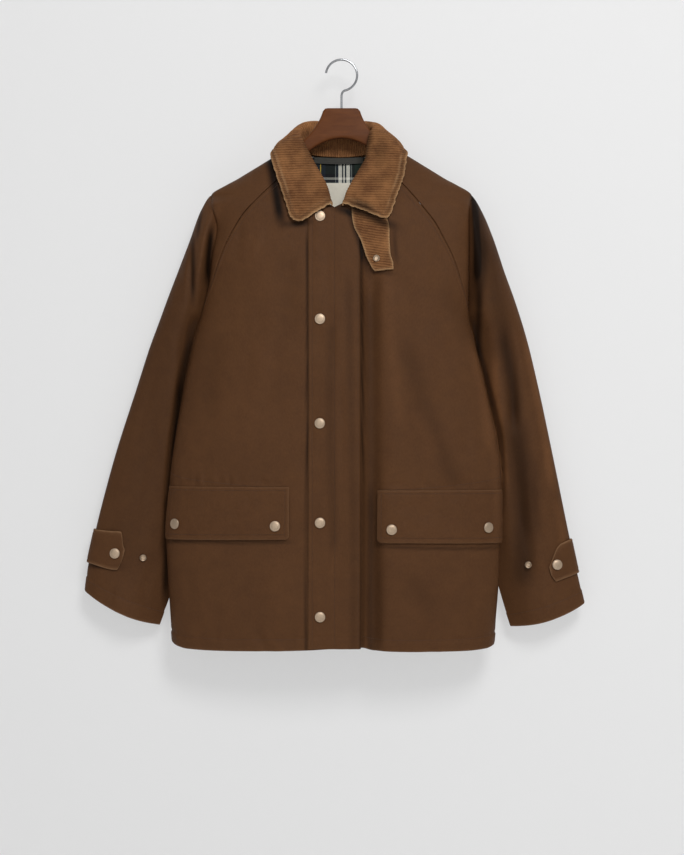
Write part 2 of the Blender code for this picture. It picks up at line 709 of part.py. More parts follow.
def on_sleeve(side, place, around, lift):
    """Point of a sleeve's wall, moved out by lift."""
    return sleeve_point(side, place, around) + sleeve_normal(side, place, around) * lift


class TabRow(NamedTuple):
    """One end-to-end line of a cuff tab: its places along the sleeve at a place around it."""
    around: float
    upper: float
    lower: float


CUFF_TAB = {
    -1: (TabRow(0.08, 13.0, 13.75), TabRow(0.015, 13.0, 13.75), TabRow(0.0, 13.0, 13.75), TabRow(-0.0132, 13.0, 13.75),
         TabRow(-0.0704, 12.98, 13.73), TabRow(-0.13, 12.96, 13.72), TabRow(-0.1936, 12.94, 13.71),
         TabRow(-0.29, 12.91, 13.68), TabRow(-0.352, 13.13, 13.64), TabRow(-0.38, 13.2, 13.4)),
    1: (TabRow(0.08, 13.1, 13.79), TabRow(0.015, 13.1, 13.79), TabRow(0.0, 13.1, 13.79), TabRow(-0.0132, 13.1, 13.79),
        TabRow(-0.0704, 13.1, 13.79), TabRow(-0.13, 13.12, 13.8), TabRow(-0.1936, 13.17, 13.8),
        TabRow(-0.25, 13.27, 13.81), TabRow(-0.3, 13.38, 13.81), TabRow(-0.345, 13.47, 13.63)),
}


class Seat(NamedTuple):
    """Where a fastener sits on a sleeve: its places along and around it."""
    place: float
    around: float


FACET_SAG = 0.85       # how far the sleeve's facets lie inside its true curve at the studs
CUFF_SNAP = {-1: Seat(13.32, -0.285), 1: Seat(13.467, -0.245)}
CUFF_STUD = {-1: Seat(13.24, -0.594), 1: Seat(13.323, -0.587)}


def make_cuff_tabs():
    """The cuff tabs, each with its snap, and the spare studs beside them."""
    lift = CLOTH / 2 + SEAM + DOUBLED / 2 + 0.7
    for side, name in ((-1, "left"), (1, "right")):
        grid = []
        for row in CUFF_TAB[side]:
            places = [row.upper + (row.lower - row.upper) * step / 3 for step in range(4)]
            grid.append([on_sleeve(side, place, row.around, lift) for place in places])
        cloth(f"cuff_tab_{name}", grid, DOUBLED, waxed())
        foot = on_sleeve(side, *CUFF_SNAP[side], lift + DOUBLED / 2 + 2 * SEAM)
        turned(f"cuff_snap_{name}", cap_profile(), snap_metal(), foot, sleeve_normal(side, *CUFF_SNAP[side]))
        foot = on_sleeve(side, *CUFF_STUD[side], CLOTH / 2 + 2 * SEAM - FACET_SAG)
        turned(f"cuff_stud_{name}", stud_profile(), snap_metal(), foot, sleeve_normal(side, *CUFF_STUD[side]))


def make_neck():
    """What shows inside the back neck: lining, bare label and hanging loop."""
    lining_lift = CLOTH / 2 + SEAM + 0.5 + 1.0
    grid = []
    for row in range(6):
        z = LINING_TOP - LINING_DROP * row / 5
        xs = [-72 + 138 * step / 8 for step in range(9)]
        grid.append([Vector((x, body_y(x, z, back=True) - lining_lift, z)) for x in xs])
    cloth("neck_lining", grid, 1.0, finish("checked lining", (0.02, 0.03, 0.05), 0.8))
    grid = []
    for row in range(4):
        z = LABEL_TOP - LABEL_DROP * row / 3
        xs = [-28 + 52 * step / 4 for step in range(5)]
        grid.append([Vector((x, body_y(x, z, back=True) - lining_lift - 0.5 - SEAM - 0.4, z)) for x in xs])
    cloth("neck_label", grid, 0.8, finish("bare label", (0.72, 0.68, 0.58), 0.7))
    grid = []
    for z in (LOOP_TOP, LOOP_LOW):
        row = []
        for step in range(13):
            x = -44 + 79 * step / 12
            bow = 2.5 * math.sin(math.pi * step / 12)
            y = body_y(x, (LOOP_TOP + LOOP_LOW) / 2, back=True) - CLOTH / 2 - SEAM - 2.0 - bow
            row.append(Vector((x, y, z - bow * 0.6)))
        grid.append(row)
    cloth("hanging_loop", grid, 1.2, finish("loop band", (0.035, 0.035, 0.032), 0.75))


def mesh_from_curve(curve_item):
    """The welded mesh of a curve object."""
    graph = bpy.context.evaluated_depsgraph_get()
    mesh = bpy.data.meshes.new_from_object(curve_item.evaluated_get(graph))
    bm = bmesh.new()
    bm.from_mesh(mesh)
    bmesh.ops.remove_doubles(bm, verts=bm.verts, dist=0.00001)
    bmesh.ops.recalc_face_normals(bm, faces=bm.faces)
    bm.to_mesh(mesh)
    bm.free()
    return mesh


def ridge_height(x):
    """Height of the hanger's shoulder, which runs straight down to its tip."""
    return RIDGE_Z - (x - RIDGE_X) * RIDGE_SLOPE


def hanger_outline():
    """Half of the hanger's outline, from the top of its neck round to the middle of its arch."""
    flare_x, flare_z = 66.0, ridge_height(66.0)
    points = []
    for step in range(7):
        t = step / 6
        points.append(((1 - t) ** 2 * HANGER_NECK + 2 * t * (1 - t) * 35.5 + t * t * flare_x,
                       (1 - t) ** 2 * HANGER_TOP_Z + 2 * t * (1 - t) * -106 + t * t * flare_z))
    tip_z = ridge_height(HANGER_TIP_X)
    points += [(HANGER_TIP_X * 0.66, ridge_height(HANGER_TIP_X * 0.66)), (HANGER_TIP_X, tip_z)]
    points += [(HANGER_TIP_X + 2, tip_z - 6), (HANGER_TIP_X, tip_z - 15), (HANGER_TIP_X - 5, tip_z - 18)]
    points.append((70, -158))
    for step in range(6):
        x = 52 * (1 - step / 5)
        points.append((x, -124.5 - 21.5 * (x / 52) ** 2))
    return points


def make_hanger():
    """The broad-necked hanger: a rounded plate with a socket for the hook, and the wire hook."""
    half = hanger_outline()
    outline = half + [(-x, z) for x, z in reversed(half[:-1])]
    curve = bpy.data.curves.new("hanger outline", "CURVE")
    curve.dimensions = "2D"
    curve.fill_mode = "BOTH"
    curve.extrude = (HANGER_THICK / 2 - HANGER_ROUND) * MM
    curve.bevel_depth = HANGER_ROUND * MM
    curve.bevel_resolution = 1
    curve.offset = -HANGER_ROUND * MM
    spline = curve.splines.new("POLY")
    spline.points.add(len(outline) - 1)
    spline.use_cyclic_u = True
    for point, (x, z) in zip(spline.points, outline):
        point.co = (x * MM, z * MM, 0.0, 1.0)
    guide = bpy.data.objects.new("hanger outline", curve)
    COLLECTION.objects.link(guide)
    bpy.context.view_layer.update()
    mesh = mesh_from_curve(guide)
    bpy.data.objects.remove(guide)
    hanger = add_object("hanger_body", mesh, finish("hanger brown", (0.15, 0.055, 0.024), 0.4))
    hanger.rotation_euler = (math.pi / 2, 0.0, 0.0)
    bpy.ops.mesh.primitive_cylinder_add(vertices=12, radius=(HOOK_WIRE + SEAM) * MM, depth=2 * SOCKET_DEPTH * MM,
                                        location=(0, 0, HANGER_TOP_Z * MM))
    cutter = bpy.context.object
    cutter.name = "hook socket cutter"
    cutter.hide_render = True
    cutter.display_type = "WIRE"
    bpy.context.collection.objects.unlink(cutter)
    CUTTERS.objects.link(cutter)
    bore = hanger.modifiers.new("hook socket", "BOOLEAN")
    bore.operation = "DIFFERENCE"
    bore.object = cutter

    centre_z = HOOK_WIRE - HOOK_RADIUS
    route = []
    for step in range(21):
        angle = math.radians(172 - 262 * step / 20)
        route.append((HOOK_RADIUS * math.cos(angle), centre_z + HOOK_RADIUS * math.sin(angle)))
    foot = HANGER_TOP_Z - SOCKET_DEPTH + SEAM
    route = route[:-1] + [(1.2, centre_z - HOOK_RADIUS - 3), (0, centre_z - HOOK_RADIUS - 8), (0, foot)]
    wire = bpy.data.curves.new("hanger_hook", "CURVE")
    wire.dimensions = "3D"
    wire.bevel_depth = HOOK_WIRE * MM
    wire.bevel_resolution = 2
    wire.use_fill_caps = True
    line = wire.splines.new("POLY")
    line.points.add(len(route) - 1)
    for point, (x, z) in zip(line.points, route):
        point.co = (x * MM, 0.0, z * MM, 1.0)
    wire.materials.append(finish("bright wire", (0.75, 0.75, 0.76), 0.2, 1.0))
    hook = bpy.data.objects.new("hanger_hook", wire)
    COLLECTION.objects.link(hook)


for old in list(bpy.data.objects):
    bpy.data.objects.remove(old)
COLLECTION = bpy.data.collections.new("waxed cotton jacket")
CUTTERS = bpy.data.collections.new("cutters")
bpy.context.scene.collection.children.link(COLLECTION)
bpy.context.scene.collection.children.link(CUTTERS)

make_fronts()
make_back()
make_sleeves()
make_collar()
make_throat_tab()
make_placket()
make_flaps()
make_cuff_tabs()
make_neck()
make_hanger()
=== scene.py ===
"""Looks of the waxed cotton jacket on its hanger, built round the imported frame.

Sizes in the tables are millimetres in the frame's own axes: +Z up, the front faces -Y, +X is the
viewer's right, and the origin is the inside top of the hanger's hook. Meshes are made in metres.
"""
from __future__ import annotations

import logging
import math
from dataclasses import dataclass, field
from enum import Enum
from typing import Callable, NamedTuple, Sequence

import bmesh
import bpy
import numpy as np
from mathutils import Matrix, Vector

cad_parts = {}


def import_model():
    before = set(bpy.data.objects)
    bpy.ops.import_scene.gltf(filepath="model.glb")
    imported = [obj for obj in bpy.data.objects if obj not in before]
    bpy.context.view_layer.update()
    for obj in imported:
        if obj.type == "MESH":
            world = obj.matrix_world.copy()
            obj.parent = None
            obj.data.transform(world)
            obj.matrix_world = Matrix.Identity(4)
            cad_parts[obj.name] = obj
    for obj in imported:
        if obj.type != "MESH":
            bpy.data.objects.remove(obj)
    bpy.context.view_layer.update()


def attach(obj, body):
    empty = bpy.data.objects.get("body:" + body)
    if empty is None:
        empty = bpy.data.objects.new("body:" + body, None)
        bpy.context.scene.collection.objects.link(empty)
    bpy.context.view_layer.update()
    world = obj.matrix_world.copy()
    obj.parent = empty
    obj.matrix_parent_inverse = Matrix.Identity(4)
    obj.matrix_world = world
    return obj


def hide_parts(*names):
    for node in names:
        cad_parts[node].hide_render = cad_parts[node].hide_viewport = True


log = logging.getLogger("jacket")

MM = 0.001
SAME_POINT = 0.00001
TINY = 1e-9
FORWARD = np.array([0.0, -1.0, 0.0])
CLOTH_WALL = 2.0
DOUBLED_WALL = 2.0
CORDUROY_WALL = 2.6
SEAM_GAP = 0.3
SEAM_EDGE = 0.25
ON_FRONT = CLOTH_WALL / 2 + SEAM_GAP + DOUBLED_WALL / 2
CREASE_LEAD = 45.0
BROAD_LEAD = 70.0
SEAM_DIP = (1.8, 0.9)
HEM_END = (2.2, 0.7)
FILM_WIDTH = 36.0
BACK_POWER = 2.2
FOLD_SWAY = 0.3
SHARP_EDGE = math.radians(55)
CENTRE_FRONT = -11.0
NECK_FRONT_Z = -240.0
ARM_ROWS = 8
LOW_ROWS = 10
SLEEVE_ROWS = 15
UNDERARM_Z = -403.0
UNDERARM_FRONT_Z = -440.0
SIDE_CLEAR = 5.0


class Side(Enum):
    """The two sides of the jacket as the viewer sees them from the front."""

    LEFT = -1
    RIGHT = 1

    @property
    def word(self) -> str:
        """The side's name in a node's name."""
        return self.name.lower()


class Layer(Enum):
    """The two faces that a hanging garment shows."""

    FRONT = "front"
    BACK = "back"


def rows_of(kind: Callable, *rows: Sequence) -> tuple:
    """The rows of a table, each as the named tuple given."""
    return tuple(kind(*row) for row in rows)


class Body(NamedTuple):
    """One level of the trunk: half widths, depths, and where its front and back surfaces end."""

    z: float
    left: float
    right: float
    front: float
    back: float
    rim_left: float
    rim_right: float
    rim_back: float
    power_left: float
    power_right: float


BODY = rows_of(
    Body,
    (-120, 52, 51, 9, 16, 0, 0, 0, 2.4, 2.4), (-136, 77, 77, 15, 22, 0, 0, 0, 2.4, 2.4),
    (-150, 99.8, 99.9, 22, 29, 0, 0, 0, 2.4, 2.4), (-165, 124, 124.4, 28, 31, 0, 0, 0, 2.3, 2.3),
    (-190, 165, 165.3, 37, 32, 0, 0, 0, 2.2, 2.2), (-216, 207, 207.5, 45, 33, 0, 0, 0, 2.2, 2.2),
    (-235, 205, 202.5, 50, 33, -20, -15, 19, 2.1, 2.3),
    (-270, 197, 201.5, 55, 33, -18, -22, 20, 2.0, 2.6),
    (-310, 204.6, 201.5, 60, 33, -15, -18, 15, 2.0, 2.8),
    (-355, 211, 201.5, 63, 34, -8, -10, 8, 2.0, 3.0), (-403, 222, 201.5, 66, 34, 0, 0, 0, 2.0, 3.0),
    (-442, 233.7, 209, 67, 35, 0, 0, 0, 2.0, 3.0), (-496, 245.4, 222, 68, 35, -1, -1, -1, 2.0, 3.0),
    (-543, 254, 232.6, 68, 36, -2, -2, -2, 2.0, 3.0), (-607, 264.6, 247, 69, 36, -3, -3, -3, 2.1, 3.0),
    (-671, 272.8, 254, 70, 36, -4, -4, -4, 2.2, 3.0), (-759, 278.2, 251.8, 70, 36, -5, -5, -5, 2.3, 3.0),
    (-831, 275, 249.4, 70, 36, -5, -5, -5, 2.3, 3.0), (-895, 271, 244.6, 70, 35, -5, -5, -5, 2.3, 3.0),
    (-940, 268, 241.5, 69, 34, -5, -5, -5, 2.3, 3.0),
)


class Ring(NamedTuple):
    """One ring of a sleeve: front seam or inner line, back seam, outer line and depths."""

    place: float
    seam_x: float
    seam_z: float
    back_x: float
    back_z: float
    outer_x: float
    outer_z: float
    outer_y: float
    inner_y: float
    front: float
    back: float


SLEEVES = {
    Side.RIGHT: rows_of(
        Ring,
        (0, 59, -168, 54, -146, 70, -131.5, 0, 0, 0, 0), (1, 100, -205, 88, -176, 112, -157, 0, 0, 0, 0),
        (2, 127, -237, 114, -206, 150, -180.6, 0, 0, 0, 0),
        (3, 147, -263, 133, -234, 182, -200.2, 0, 0, 0, 0),
        (4, 161, -288, 149, -262, 207.5, -216, 0, 0, 0, 0),
        (5, 176, -318, 165, -295, 224.5, -243, 1, 0, 19, 16),
        (6, 187, -349, 181, -336, 242, -284, 3, 0, 25, 20),
        (7, 195, -376, 193, -371, 261, -340, 5, 0, 28, 22),
        (8, 202, -405, 202, -405, 276, -381, 6, 2, 28, 22),
        (9, 208.5, -440, 208.5, -440, 290, -424, 7, 15, 28, 22),
        (10, 209, -480, 209, -480, 299, -455, 9, 21, 28, 22),
        (11, 213, -560, 213, -560, 317, -530, 12, 24, 27, 22),
        (12, 223, -670, 223, -670, 340, -638, 14, 26, 25, 21),
        (13, 241, -790, 241, -790, 364.5, -757, 16, 25, 24, 21),
        (14, 262, -870, 262, -870, 381, -832, 18, 22, 25, 22),
        (15, 273.4, -906.5, 273.4, -906.5, 390, -869, 18, 20, 25, 22),
    ),
    Side.LEFT: rows_of(
        Ring,
        (0, 71, -168, 62, -147, 80, -137.5, 0, 0, 0, 0),
        (1, 112, -204, 96, -178, 119, -161.6, 0, 0, 0, 0),
        (2, 138, -230, 122, -208, 154, -183.2, 0, 0, 0, 0),
        (3, 156, -250, 141, -236, 185, -202.2, 0, 0, 0, 0),
        (4, 172, -275, 158, -264, 209, -216.4, 0, 0, 0, 0),
        (5, 186, -302, 175, -297, 224, -240, 1, 0, 19, 16),
        (6, 199, -336, 192, -338, 243.5, -292, 3, 0, 25, 20),
        (7, 210, -370, 207, -372, 262, -340, 5, 0, 28, 22),
        (8, 222.6, -405, 222.6, -405, 277.5, -380, 6, 2, 28, 22),
        (9, 229.5, -440, 229.5, -440, 293, -422, 7, 15, 28, 22),
        (10, 229, -480, 229, -480, 305.5, -455, 9, 21, 28, 22),
        (11, 229, -560, 229, -560, 330, -530, 12, 24, 27, 22),
        (12, 236, -670, 236, -670, 364, -636, 14, 26, 25, 21),
        (13, 256, -790, 256, -790, 394, -750, 16, 25, 24, 21),
        (14, 281, -868, 281, -868, 408, -816, 18, 22, 25, 22),
        (15, 294.2, -904, 294.2, -904, 412, -849, 18, 20, 25, 22),
    ),
}


class Neck(NamedTuple):
    """A neckline: share of its length, and the place there."""

    share: float
    x: float
    z: float


NECK_FRONT = {
    Side.RIGHT: rows_of(Neck, (0, -11, -240), (0.4, 14, -226), (0.7, 38, -201), (1, 59, -168)),
    Side.LEFT: rows_of(Neck, (0, -11, -240), (0.4, -32, -226), (0.7, -53, -200), (1, -71, -168)),
}
NECK_BACK = rows_of(
    Neck,
    (0, -62, -147), (0.25, -32, -151.5), (0.5, 0, -153), (0.75, 28, -151), (1, 54, -146),
)


class Hem(NamedTuple):
    """Height of the hem across the jacket."""

    x: float
    z: float


HEM = rows_of(
    Hem,
    (-272, -926), (-260, -932.5), (-243, -936), (-191, -937.5), (-114, -937), (-53, -935.3), (-15, -933),
    (28, -931), (50, -936), (116, -938), (193, -937.5), (228, -935), (243, -930),
)


class Fold(NamedTuple):
    """A soft trough, or a ridge where depth is negative, between two places in the upright plane."""

    x0: float
    z0: float
    x1: float
    z1: float
    half_width: float
    depth: float


TROUGHS = rows_of(
    Fold,
    (47, -300, 51, -960, 19, 7), (255, -380, 276, -610, 15, 4), (285, -640, 289, -785, 18, 3.5),
    (-229, -262, -243, -420, 13, 3),
)
FRONT_FOLDS = rows_of(
    Fold,
    (84, -330, 120, -520, 26, 1.6), (120, -420, 150, -640, 30, -1.8), (150, -300, 178, -500, 22, 1.4),
    (168, -520, 205, -660, 18, 1.2), (70, -560, 96, -672, 15, -1.2), (66, -640, 74, -700, 9, 1.3),
    (-70, -300, -96, -470, 30, 1.2), (-120, -440, -150, -600, 24, -1.2), (-40, -560, -64, -668, 16, 1.4),
    (-190, -420, -214, -600, 22, 1.2), (-150, -250, -176, -330, 14, 1.4),
    (-128, -262, -140, -330, 10, -0.9), (132, -258, 160, -350, 13, 1.2), (-20, -300, -14, -520, 12, 0.9),
    (8, -480, 12, -700, 12, -0.9), (-6, -700, -2, -880, 14, 0.8), (-142, -880, -100, -960, 12, 1.3),
    (-118, -895, -84, -960, 9, -1.0), (126, -880, 142, -960, 12, 1.4), (148, -900, 160, -960, 8, -0.9),
    (205, -780, 214, -925, 16, 1.2), (-236, -780, -240, -915, 16, 1.1), (-232, -655, -228, -684, 5, 0.9),
    (-222, -648, -216, -684, 5, -0.8), (-208, -654, -203, -684, 5, 0.9), (-192, -650, -190, -684, 5, 0.7),
    (-176, -658, -172, -684, 4, 0.8), (124, -652, 128, -688, 5, 1.0), (138, -656, 143, -688, 5, -0.8),
    (184, -652, 190, -688, 5, 1.0), (200, -658, 206, -690, 5, 0.9), (214, -655, 218, -690, 5, -0.7),
)
SLEEVE_FOLDS = rows_of(
    Fold,
    (262, -400, 284, -610, 13, 4.0), (249, -362, 286, -474, 12, -2.0), (278, -590, 293, -856, 26, 5.0),
    (337, -650, 346, -780, 9, -3.0), (353, -660, 361, -780, 6, -2.0), (-203, -244, -216, -392, 11, 7.0),
    (-232, -296, -245, -424, 12, 3.0), (-250, -420, -262, -640, 13, 3.0),
    (-300, -560, -340, -790, 16, 2.4), (243, -330, 262, -470, 11, -1.8), (238, -250, 268, -360, 12, 1.6),
    (290, -440, 312, -620, 14, 1.6), (300, -560, 330, -760, 15, -1.6), (252, -500, 262, -660, 13, -1.4),
    (335, -660, 352, -800, 10, 1.5), (262, -720, 292, -860, 14, 1.4), (322, -820, 336, -900, 12, -1.2),
    (-252, -300, -262, -420, 14, 1.4), (-262, -420, -290, -600, 16, -1.6),
    (-296, -470, -330, -640, 13, 1.5), (-262, -600, -276, -760, 15, 1.4),
    (-318, -640, -350, -790, 14, -1.4), (-362, -700, -384, -800, 10, 1.2),
    (-300, -780, -318, -890, 13, 1.5), (-350, -820, -362, -890, 10, -1.0),
    (-214, -226, -226, -275, 8, 1.5),
)
BACK_FOLDS = rows_of(
    Fold,
    (-120, -260, -170, -420, 22, 1.8), (118, -262, 166, -420, 24, 1.9), (-60, -330, -80, -640, 34, 1.6),
    (40, -360, 64, -700, 36, 1.8), (-2, -300, 4, -560, 26, -1.6), (-180, -480, -206, -760, 28, 2.0),
    (160, -470, 196, -780, 30, 2.2), (-120, -620, -136, -900, 26, -1.6), (104, -660, 116, -930, 26, -1.8),
    (10, -700, 6, -960, 24, 1.6), (-240, -560, -250, -820, 16, 1.2), (222, -540, 232, -820, 16, 1.2),
    (252, -460, 276, -640, 14, 1.8), (300, -600, 326, -800, 15, 1.8), (-262, -450, -292, -640, 15, 1.8),
    (-318, -600, -352, -790, 15, 1.6),
)


class CollarRow(NamedTuple):
    """One section of the collar: at the neck seam, the roll and the outer edge."""

    seam: tuple[float, float, float]
    roll: tuple[float, float, float]
    edge: tuple[float, float, float]
    turn: float
    puff: float


COLLAR = rows_of(
    CollarRow,
    ((-14, -56, -238.5), (-15.5, -61, -235), (-65, -62.5, -266), 2.3, 2),
    ((-30, -52, -222), (-24, -56, -207), (-79, -59.5, -257), 3, 3),
    ((-50, -43.5, -196), (-36, -44, -182), (-90, -52, -226), 4, 4),
    ((-69, -25, -165), (-51, -24, -153), (-105, -34, -182), 4.5, 4),
    ((-77.5, -10.5, -140), (-62, -12, -129), (-113, -17, -153.5), 4.5, 7),
    ((-79.5, 0, -135.5), (-67, 1, -115), (-113.5, -3, -149.5), 4.5, 5),
    ((-77, 8, -138), (-67, 9, -109), (-112, 6, -150), 4.5, 5),
    ((-62, 20, -146), (-56, 25, -95), (-97, 25, -156), 5, 5),
    ((-34, 27.5, -150), (-34, 34, -91), (-55, 36, -167), 5, 4),
    ((-3, 29.5, -151.5), (-4, 36, -90), (-4, 40, -172), 5, 4),
    ((27, 27.5, -150), (24, 34, -91), (48, 36, -167), 5, 4),
    ((54, 20, -145), (42, 25, -94), (90, 25, -156), 5, 5),
    ((68, 9, -132.5), (50, 8, -100), (103, 7, -147.5), 4.5, 5),
    ((70, 0, -130), (51, -6, -107), (105, -4, -147.5), 3.5, 5),
    ((69, -6.5, -132.5), (45, -16, -117), (105.5, -11, -150), 4.0, 7),
    ((67, -12, -137), (42, -18, -131), (104.5, -19, -153), 4.5, 9),
    ((58, -25, -165), (39, -27, -156), (99, -37.5, -186), 4.5, 5),
    ((37, -43.5, -196.5), (25, -45, -186), (87.5, -53, -221), 4, 4),
    ((15, -52, -223), (11, -56, -212), (74, -61, -257), 3, 3),
    ((2, -56, -238.5), (2, -61, -235), (67, -64, -260), 2.3, 2),
)


class Strip(NamedTuple):
    """Left and right edge of the throat tab at one level."""

    share: float
    left_x: float
    left_z: float
    right_x: float
    right_z: float


THROAT_TAB = rows_of(
    Strip,
    (0, 15, -228, 60, -232), (0.22, 16.5, -254, 70.6, -257), (0.37, 19, -271, 75, -274),
    (0.56, 29, -292, 75.4, -294), (0.74, 36, -313, 76.5, -313), (0.9, 45.5, -332, 81, -331),
    (1, 52.5, -342, 81, -339),
)


# ---------------------------------------------------------------- shapes worked out from the tables


# Painted shadow that the collar's leaves and the throat tab cast onto the cloth around them.
PAINTED_COLLAR_SHADOW = rows_of(
    Fold,
    (-127, -118, -87, -284, 14, 0.95), (-100, -270, -34, -260, 9, 0.75), (-34, -228, 102, -280, 12, 0.8),
    (9, -234, 46, -358, 10, 0.75), (38, -343, 92, -345, 6, 0.4), (82, -256, 89, -350, 6, 0.4),
)
# Painted shade on the fronts in the folds, along the placket's edges and under the pocket flaps, and painted
# light where the depth is below 0.
PAINTED_SHADE_ON_FRONTS = PAINTED_COLLAR_SHADOW + rows_of(
    Fold,
    (48, -360, 50, -990, 21, 0.27), (31, -280, 31, -1020, 4.5, 0.62), (43, -660, 46, -990, 10, 0.3),
    (-16, -400, -14, -800, 13, 0.2), (14, -330, 18, -960, 11, 0.2), (-54, -262, -54, -990, 4, 0.6),
    (88, -440, 190, -700, 26, 0.2), (160, -330, 196, -470, 22, 0.1), (92, -790, 150, -900, 24, 0.12),
    (-60, -765, -310, -769, 5, 0.45), (40, -773, 280, -777, 5, 0.45), (198, -300, 214, -470, 14, -0.22),
    (206, -440, 240, -640, 18, -0.34), (240, -600, 250, -800, 14, -0.2), (70, -330, 92, -600, 16, -0.14),
    (120, -540, 150, -660, 18, -0.14), (198, -240, 202, -430, 7, -0.25),
)
# Painted shade on the sleeves in the folds, beside the trunk and under the left cuff tab, and painted light
# where the depth is below 0.
PAINTED_SHADE_ON_SLEEVES = PAINTED_COLLAR_SHADOW + rows_of(
    Fold,
    (212, -180, 213, -370, 9, 0.9), (216, -200, 220, -400, 17, 0.56), (216, -350, 224, -500, 9, 0.7),
    (236, -262, 256, -450, 27, 0.36), (259, -410, 277, -600, 20, 0.62), (274, -560, 300, -860, 30, 0.52),
    (308, -620, 319, -780, 12, 0.15), (244, -460, 262, -700, 10, -0.6), (292, -420, 340, -700, 13, -0.4),
    (340, -690, 362, -800, 12, -0.25), (-204, -244, -215, -380, 9, 0.95),
    (-218, -224, -233, -300, 6, 0.6), (-237, -255, -236, -405, 7, 0.6), (-240, -420, -262, -550, 9, 0.5),
    (-258, -500, -288, -880, 9, 0.68), (-424, -806, -340, -812, 7, 0.7),
    (-270, -280, -340, -840, 90, 0.16), (-196, -222, -202, -300, 12, -0.3),
)
# Share of the back's creases that is painted as shade, and of its ridges as painted light.
PAINTED_SHADE_ON_BACK = 0.05
COLLAR_SHADES = rows_of(
    Fold,
    (36, -96, 30, -190, 18, 0.85), (62, -110, 66, -190, 20, 0.34), (44, -190, 82, -204, 12, 0.15),
    (4, -224, 62, -258, 13, 0.5), (96, -160, 72, -250, 16, 0.1), (-56, -112, -46, -190, 12, 0.3),
    (-96, -150, -74, -240, 22, -0.2), (-66, -160, -40, -216, 14, 0.1),
)
TAB_SHADES = rows_of(Fold, (-20, -234, 102, -276, 14, 0.85))


def smooth(t: np.ndarray | float) -> np.ndarray:
    """Ease from 0 to 1."""
    t = np.clip(t, 0.0, 1.0)
    return t * t * (3 - 2 * t)


def unit(vectors: np.ndarray) -> np.ndarray:
    """Vectors at length one."""
    return vectors / np.maximum(np.linalg.norm(vectors, axis=-1, keepdims=True), TINY)


def run_along(points: np.ndarray, axis: int = 0) -> np.ndarray:
    """Length along an axis of a grid of points, from its first row or column."""
    steps = np.diff(points, axis=axis, prepend=np.take(points, [0], axis))
    return np.cumsum(np.linalg.norm(steps, axis=-1), axis=axis)


def nearest(values: np.ndarray, wanted: float) -> int:
    """Index of the value that comes closest."""
    return int(np.argmin(np.abs(values - wanted)))


def shown(name: str, data: bpy.types.ID) -> bpy.types.Object:
    """A new object of the scene, round its data."""
    item = bpy.data.objects.new(name, data)
    bpy.context.scene.collection.objects.link(item)
    return item


def face_outwards(mesh: bpy.types.Mesh, merged: bool = False) -> None:
    """Turn a mesh's faces outwards, with or without its doubled points merged first."""
    bm = bmesh.new()
    bm.from_mesh(mesh)
    if merged:
        bmesh.ops.remove_doubles(bm, verts=bm.verts, dist=SAME_POINT)
    bmesh.ops.recalc_face_normals(bm, faces=bm.faces)
    bm.to_mesh(mesh)
    bm.free()


def stand_for(item: bpy.types.Object, node: str) -> None:
    """Let an object ride on the root and stand for a node."""
    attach(item, "root")
    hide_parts(node)


def hermite(low: np.ndarray, high: np.ndarray, slope_low: np.ndarray, slope_high: np.ndarray,
            span: np.ndarray, t: np.ndarray) -> np.ndarray:
    """Cubic from one value to the next, with a slope at each."""
    return (low * (1 + 2 * t) * (1 - t) ** 2 + slope_low * span * t * (1 - t) ** 2
            + high * t * t * (3 - 2 * t) + slope_high * span * t * t * (t - 1))


def bend(start: float, pull: float, end: float, t: float) -> float:
    """Place on a quadratic curve."""
    return (1 - t) ** 2 * start + 2 * t * (1 - t) * pull + t * t * end


class Table:
    """Rows of named columns, read anywhere along the first column by monotone cubic curves."""

    SAMPLES = 3001

    def __init__(self, rows: Sequence[NamedTuple]) -> None:
        """Sample the curves through the rows.

        Args:
            rows: The table, in order of its first column.
        """
        data = np.array(rows, dtype=float)
        if data[0, 0] > data[-1, 0]:
            data = data[::-1]
        rise = np.diff(data, axis=0) / np.diff(data[:, 0])[:, None]
        product, total = rise[:-1] * rise[1:], rise[:-1] + rise[1:]
        middle = np.where(product > 0, 2 * product / np.where(total == 0, 1, total), 0.0)
        slope = np.vstack([rise[:1], middle, rise[-1:]])
        self.places = np.linspace(data[0, 0], data[-1, 0], self.SAMPLES)
        low = np.clip(np.searchsorted(data[:, 0], self.places, side="right") - 1, 0, len(data) - 2)
        span = (data[low + 1, 0] - data[low, 0])[:, None]
        t = (self.places - data[low, 0])[:, None] / span
        values = hermite(data[low], data[low + 1], slope[low], slope[low + 1], span, t)
        self.columns = dict(zip(rows[0]._fields, values.T))

    def __call__(self, column: str, at: np.ndarray | float) -> np.ndarray:
        """Value of a column at places on the first column."""
        return np.interp(at, self.places, self.columns[column])


class Wander:
    """Smooth, seeded unevenness over a plane, about -1 to 1."""

    SIZE = 64

    def __init__(self, seed: int) -> None:
        """Fill the lattice.

        Args:
            seed: Seed of the pattern.
        """
        self.lattice = np.random.default_rng(seed).uniform(-1, 1, (self.SIZE, self.SIZE))

    def __call__(self, u: np.ndarray, v: np.ndarray, octaves: int = 2) -> np.ndarray:
        """Height at places, one lattice cell to the unit."""
        total = np.zeros(np.broadcast(u, v).shape)
        size, gain = 1.0, 1.0
        for _ in range(octaves):
            i, j = np.floor(u * size), np.floor(v * size)
            s, t = smooth(u * size - i), smooth(v * size - j)
            i, j = i.astype(int) % self.SIZE, j.astype(int) % self.SIZE
            k, m = (i + 1) % self.SIZE, (j + 1) % self.SIZE
            low = self.lattice[i, j] * (1 - s) + self.lattice[k, j] * s
            high = self.lattice[i, m] * (1 - s) + self.lattice[k, m] * s
            total += gain * (low * (1 - t) + high * t)
            size, gain = size * 2.1, gain * 0.5
        return total


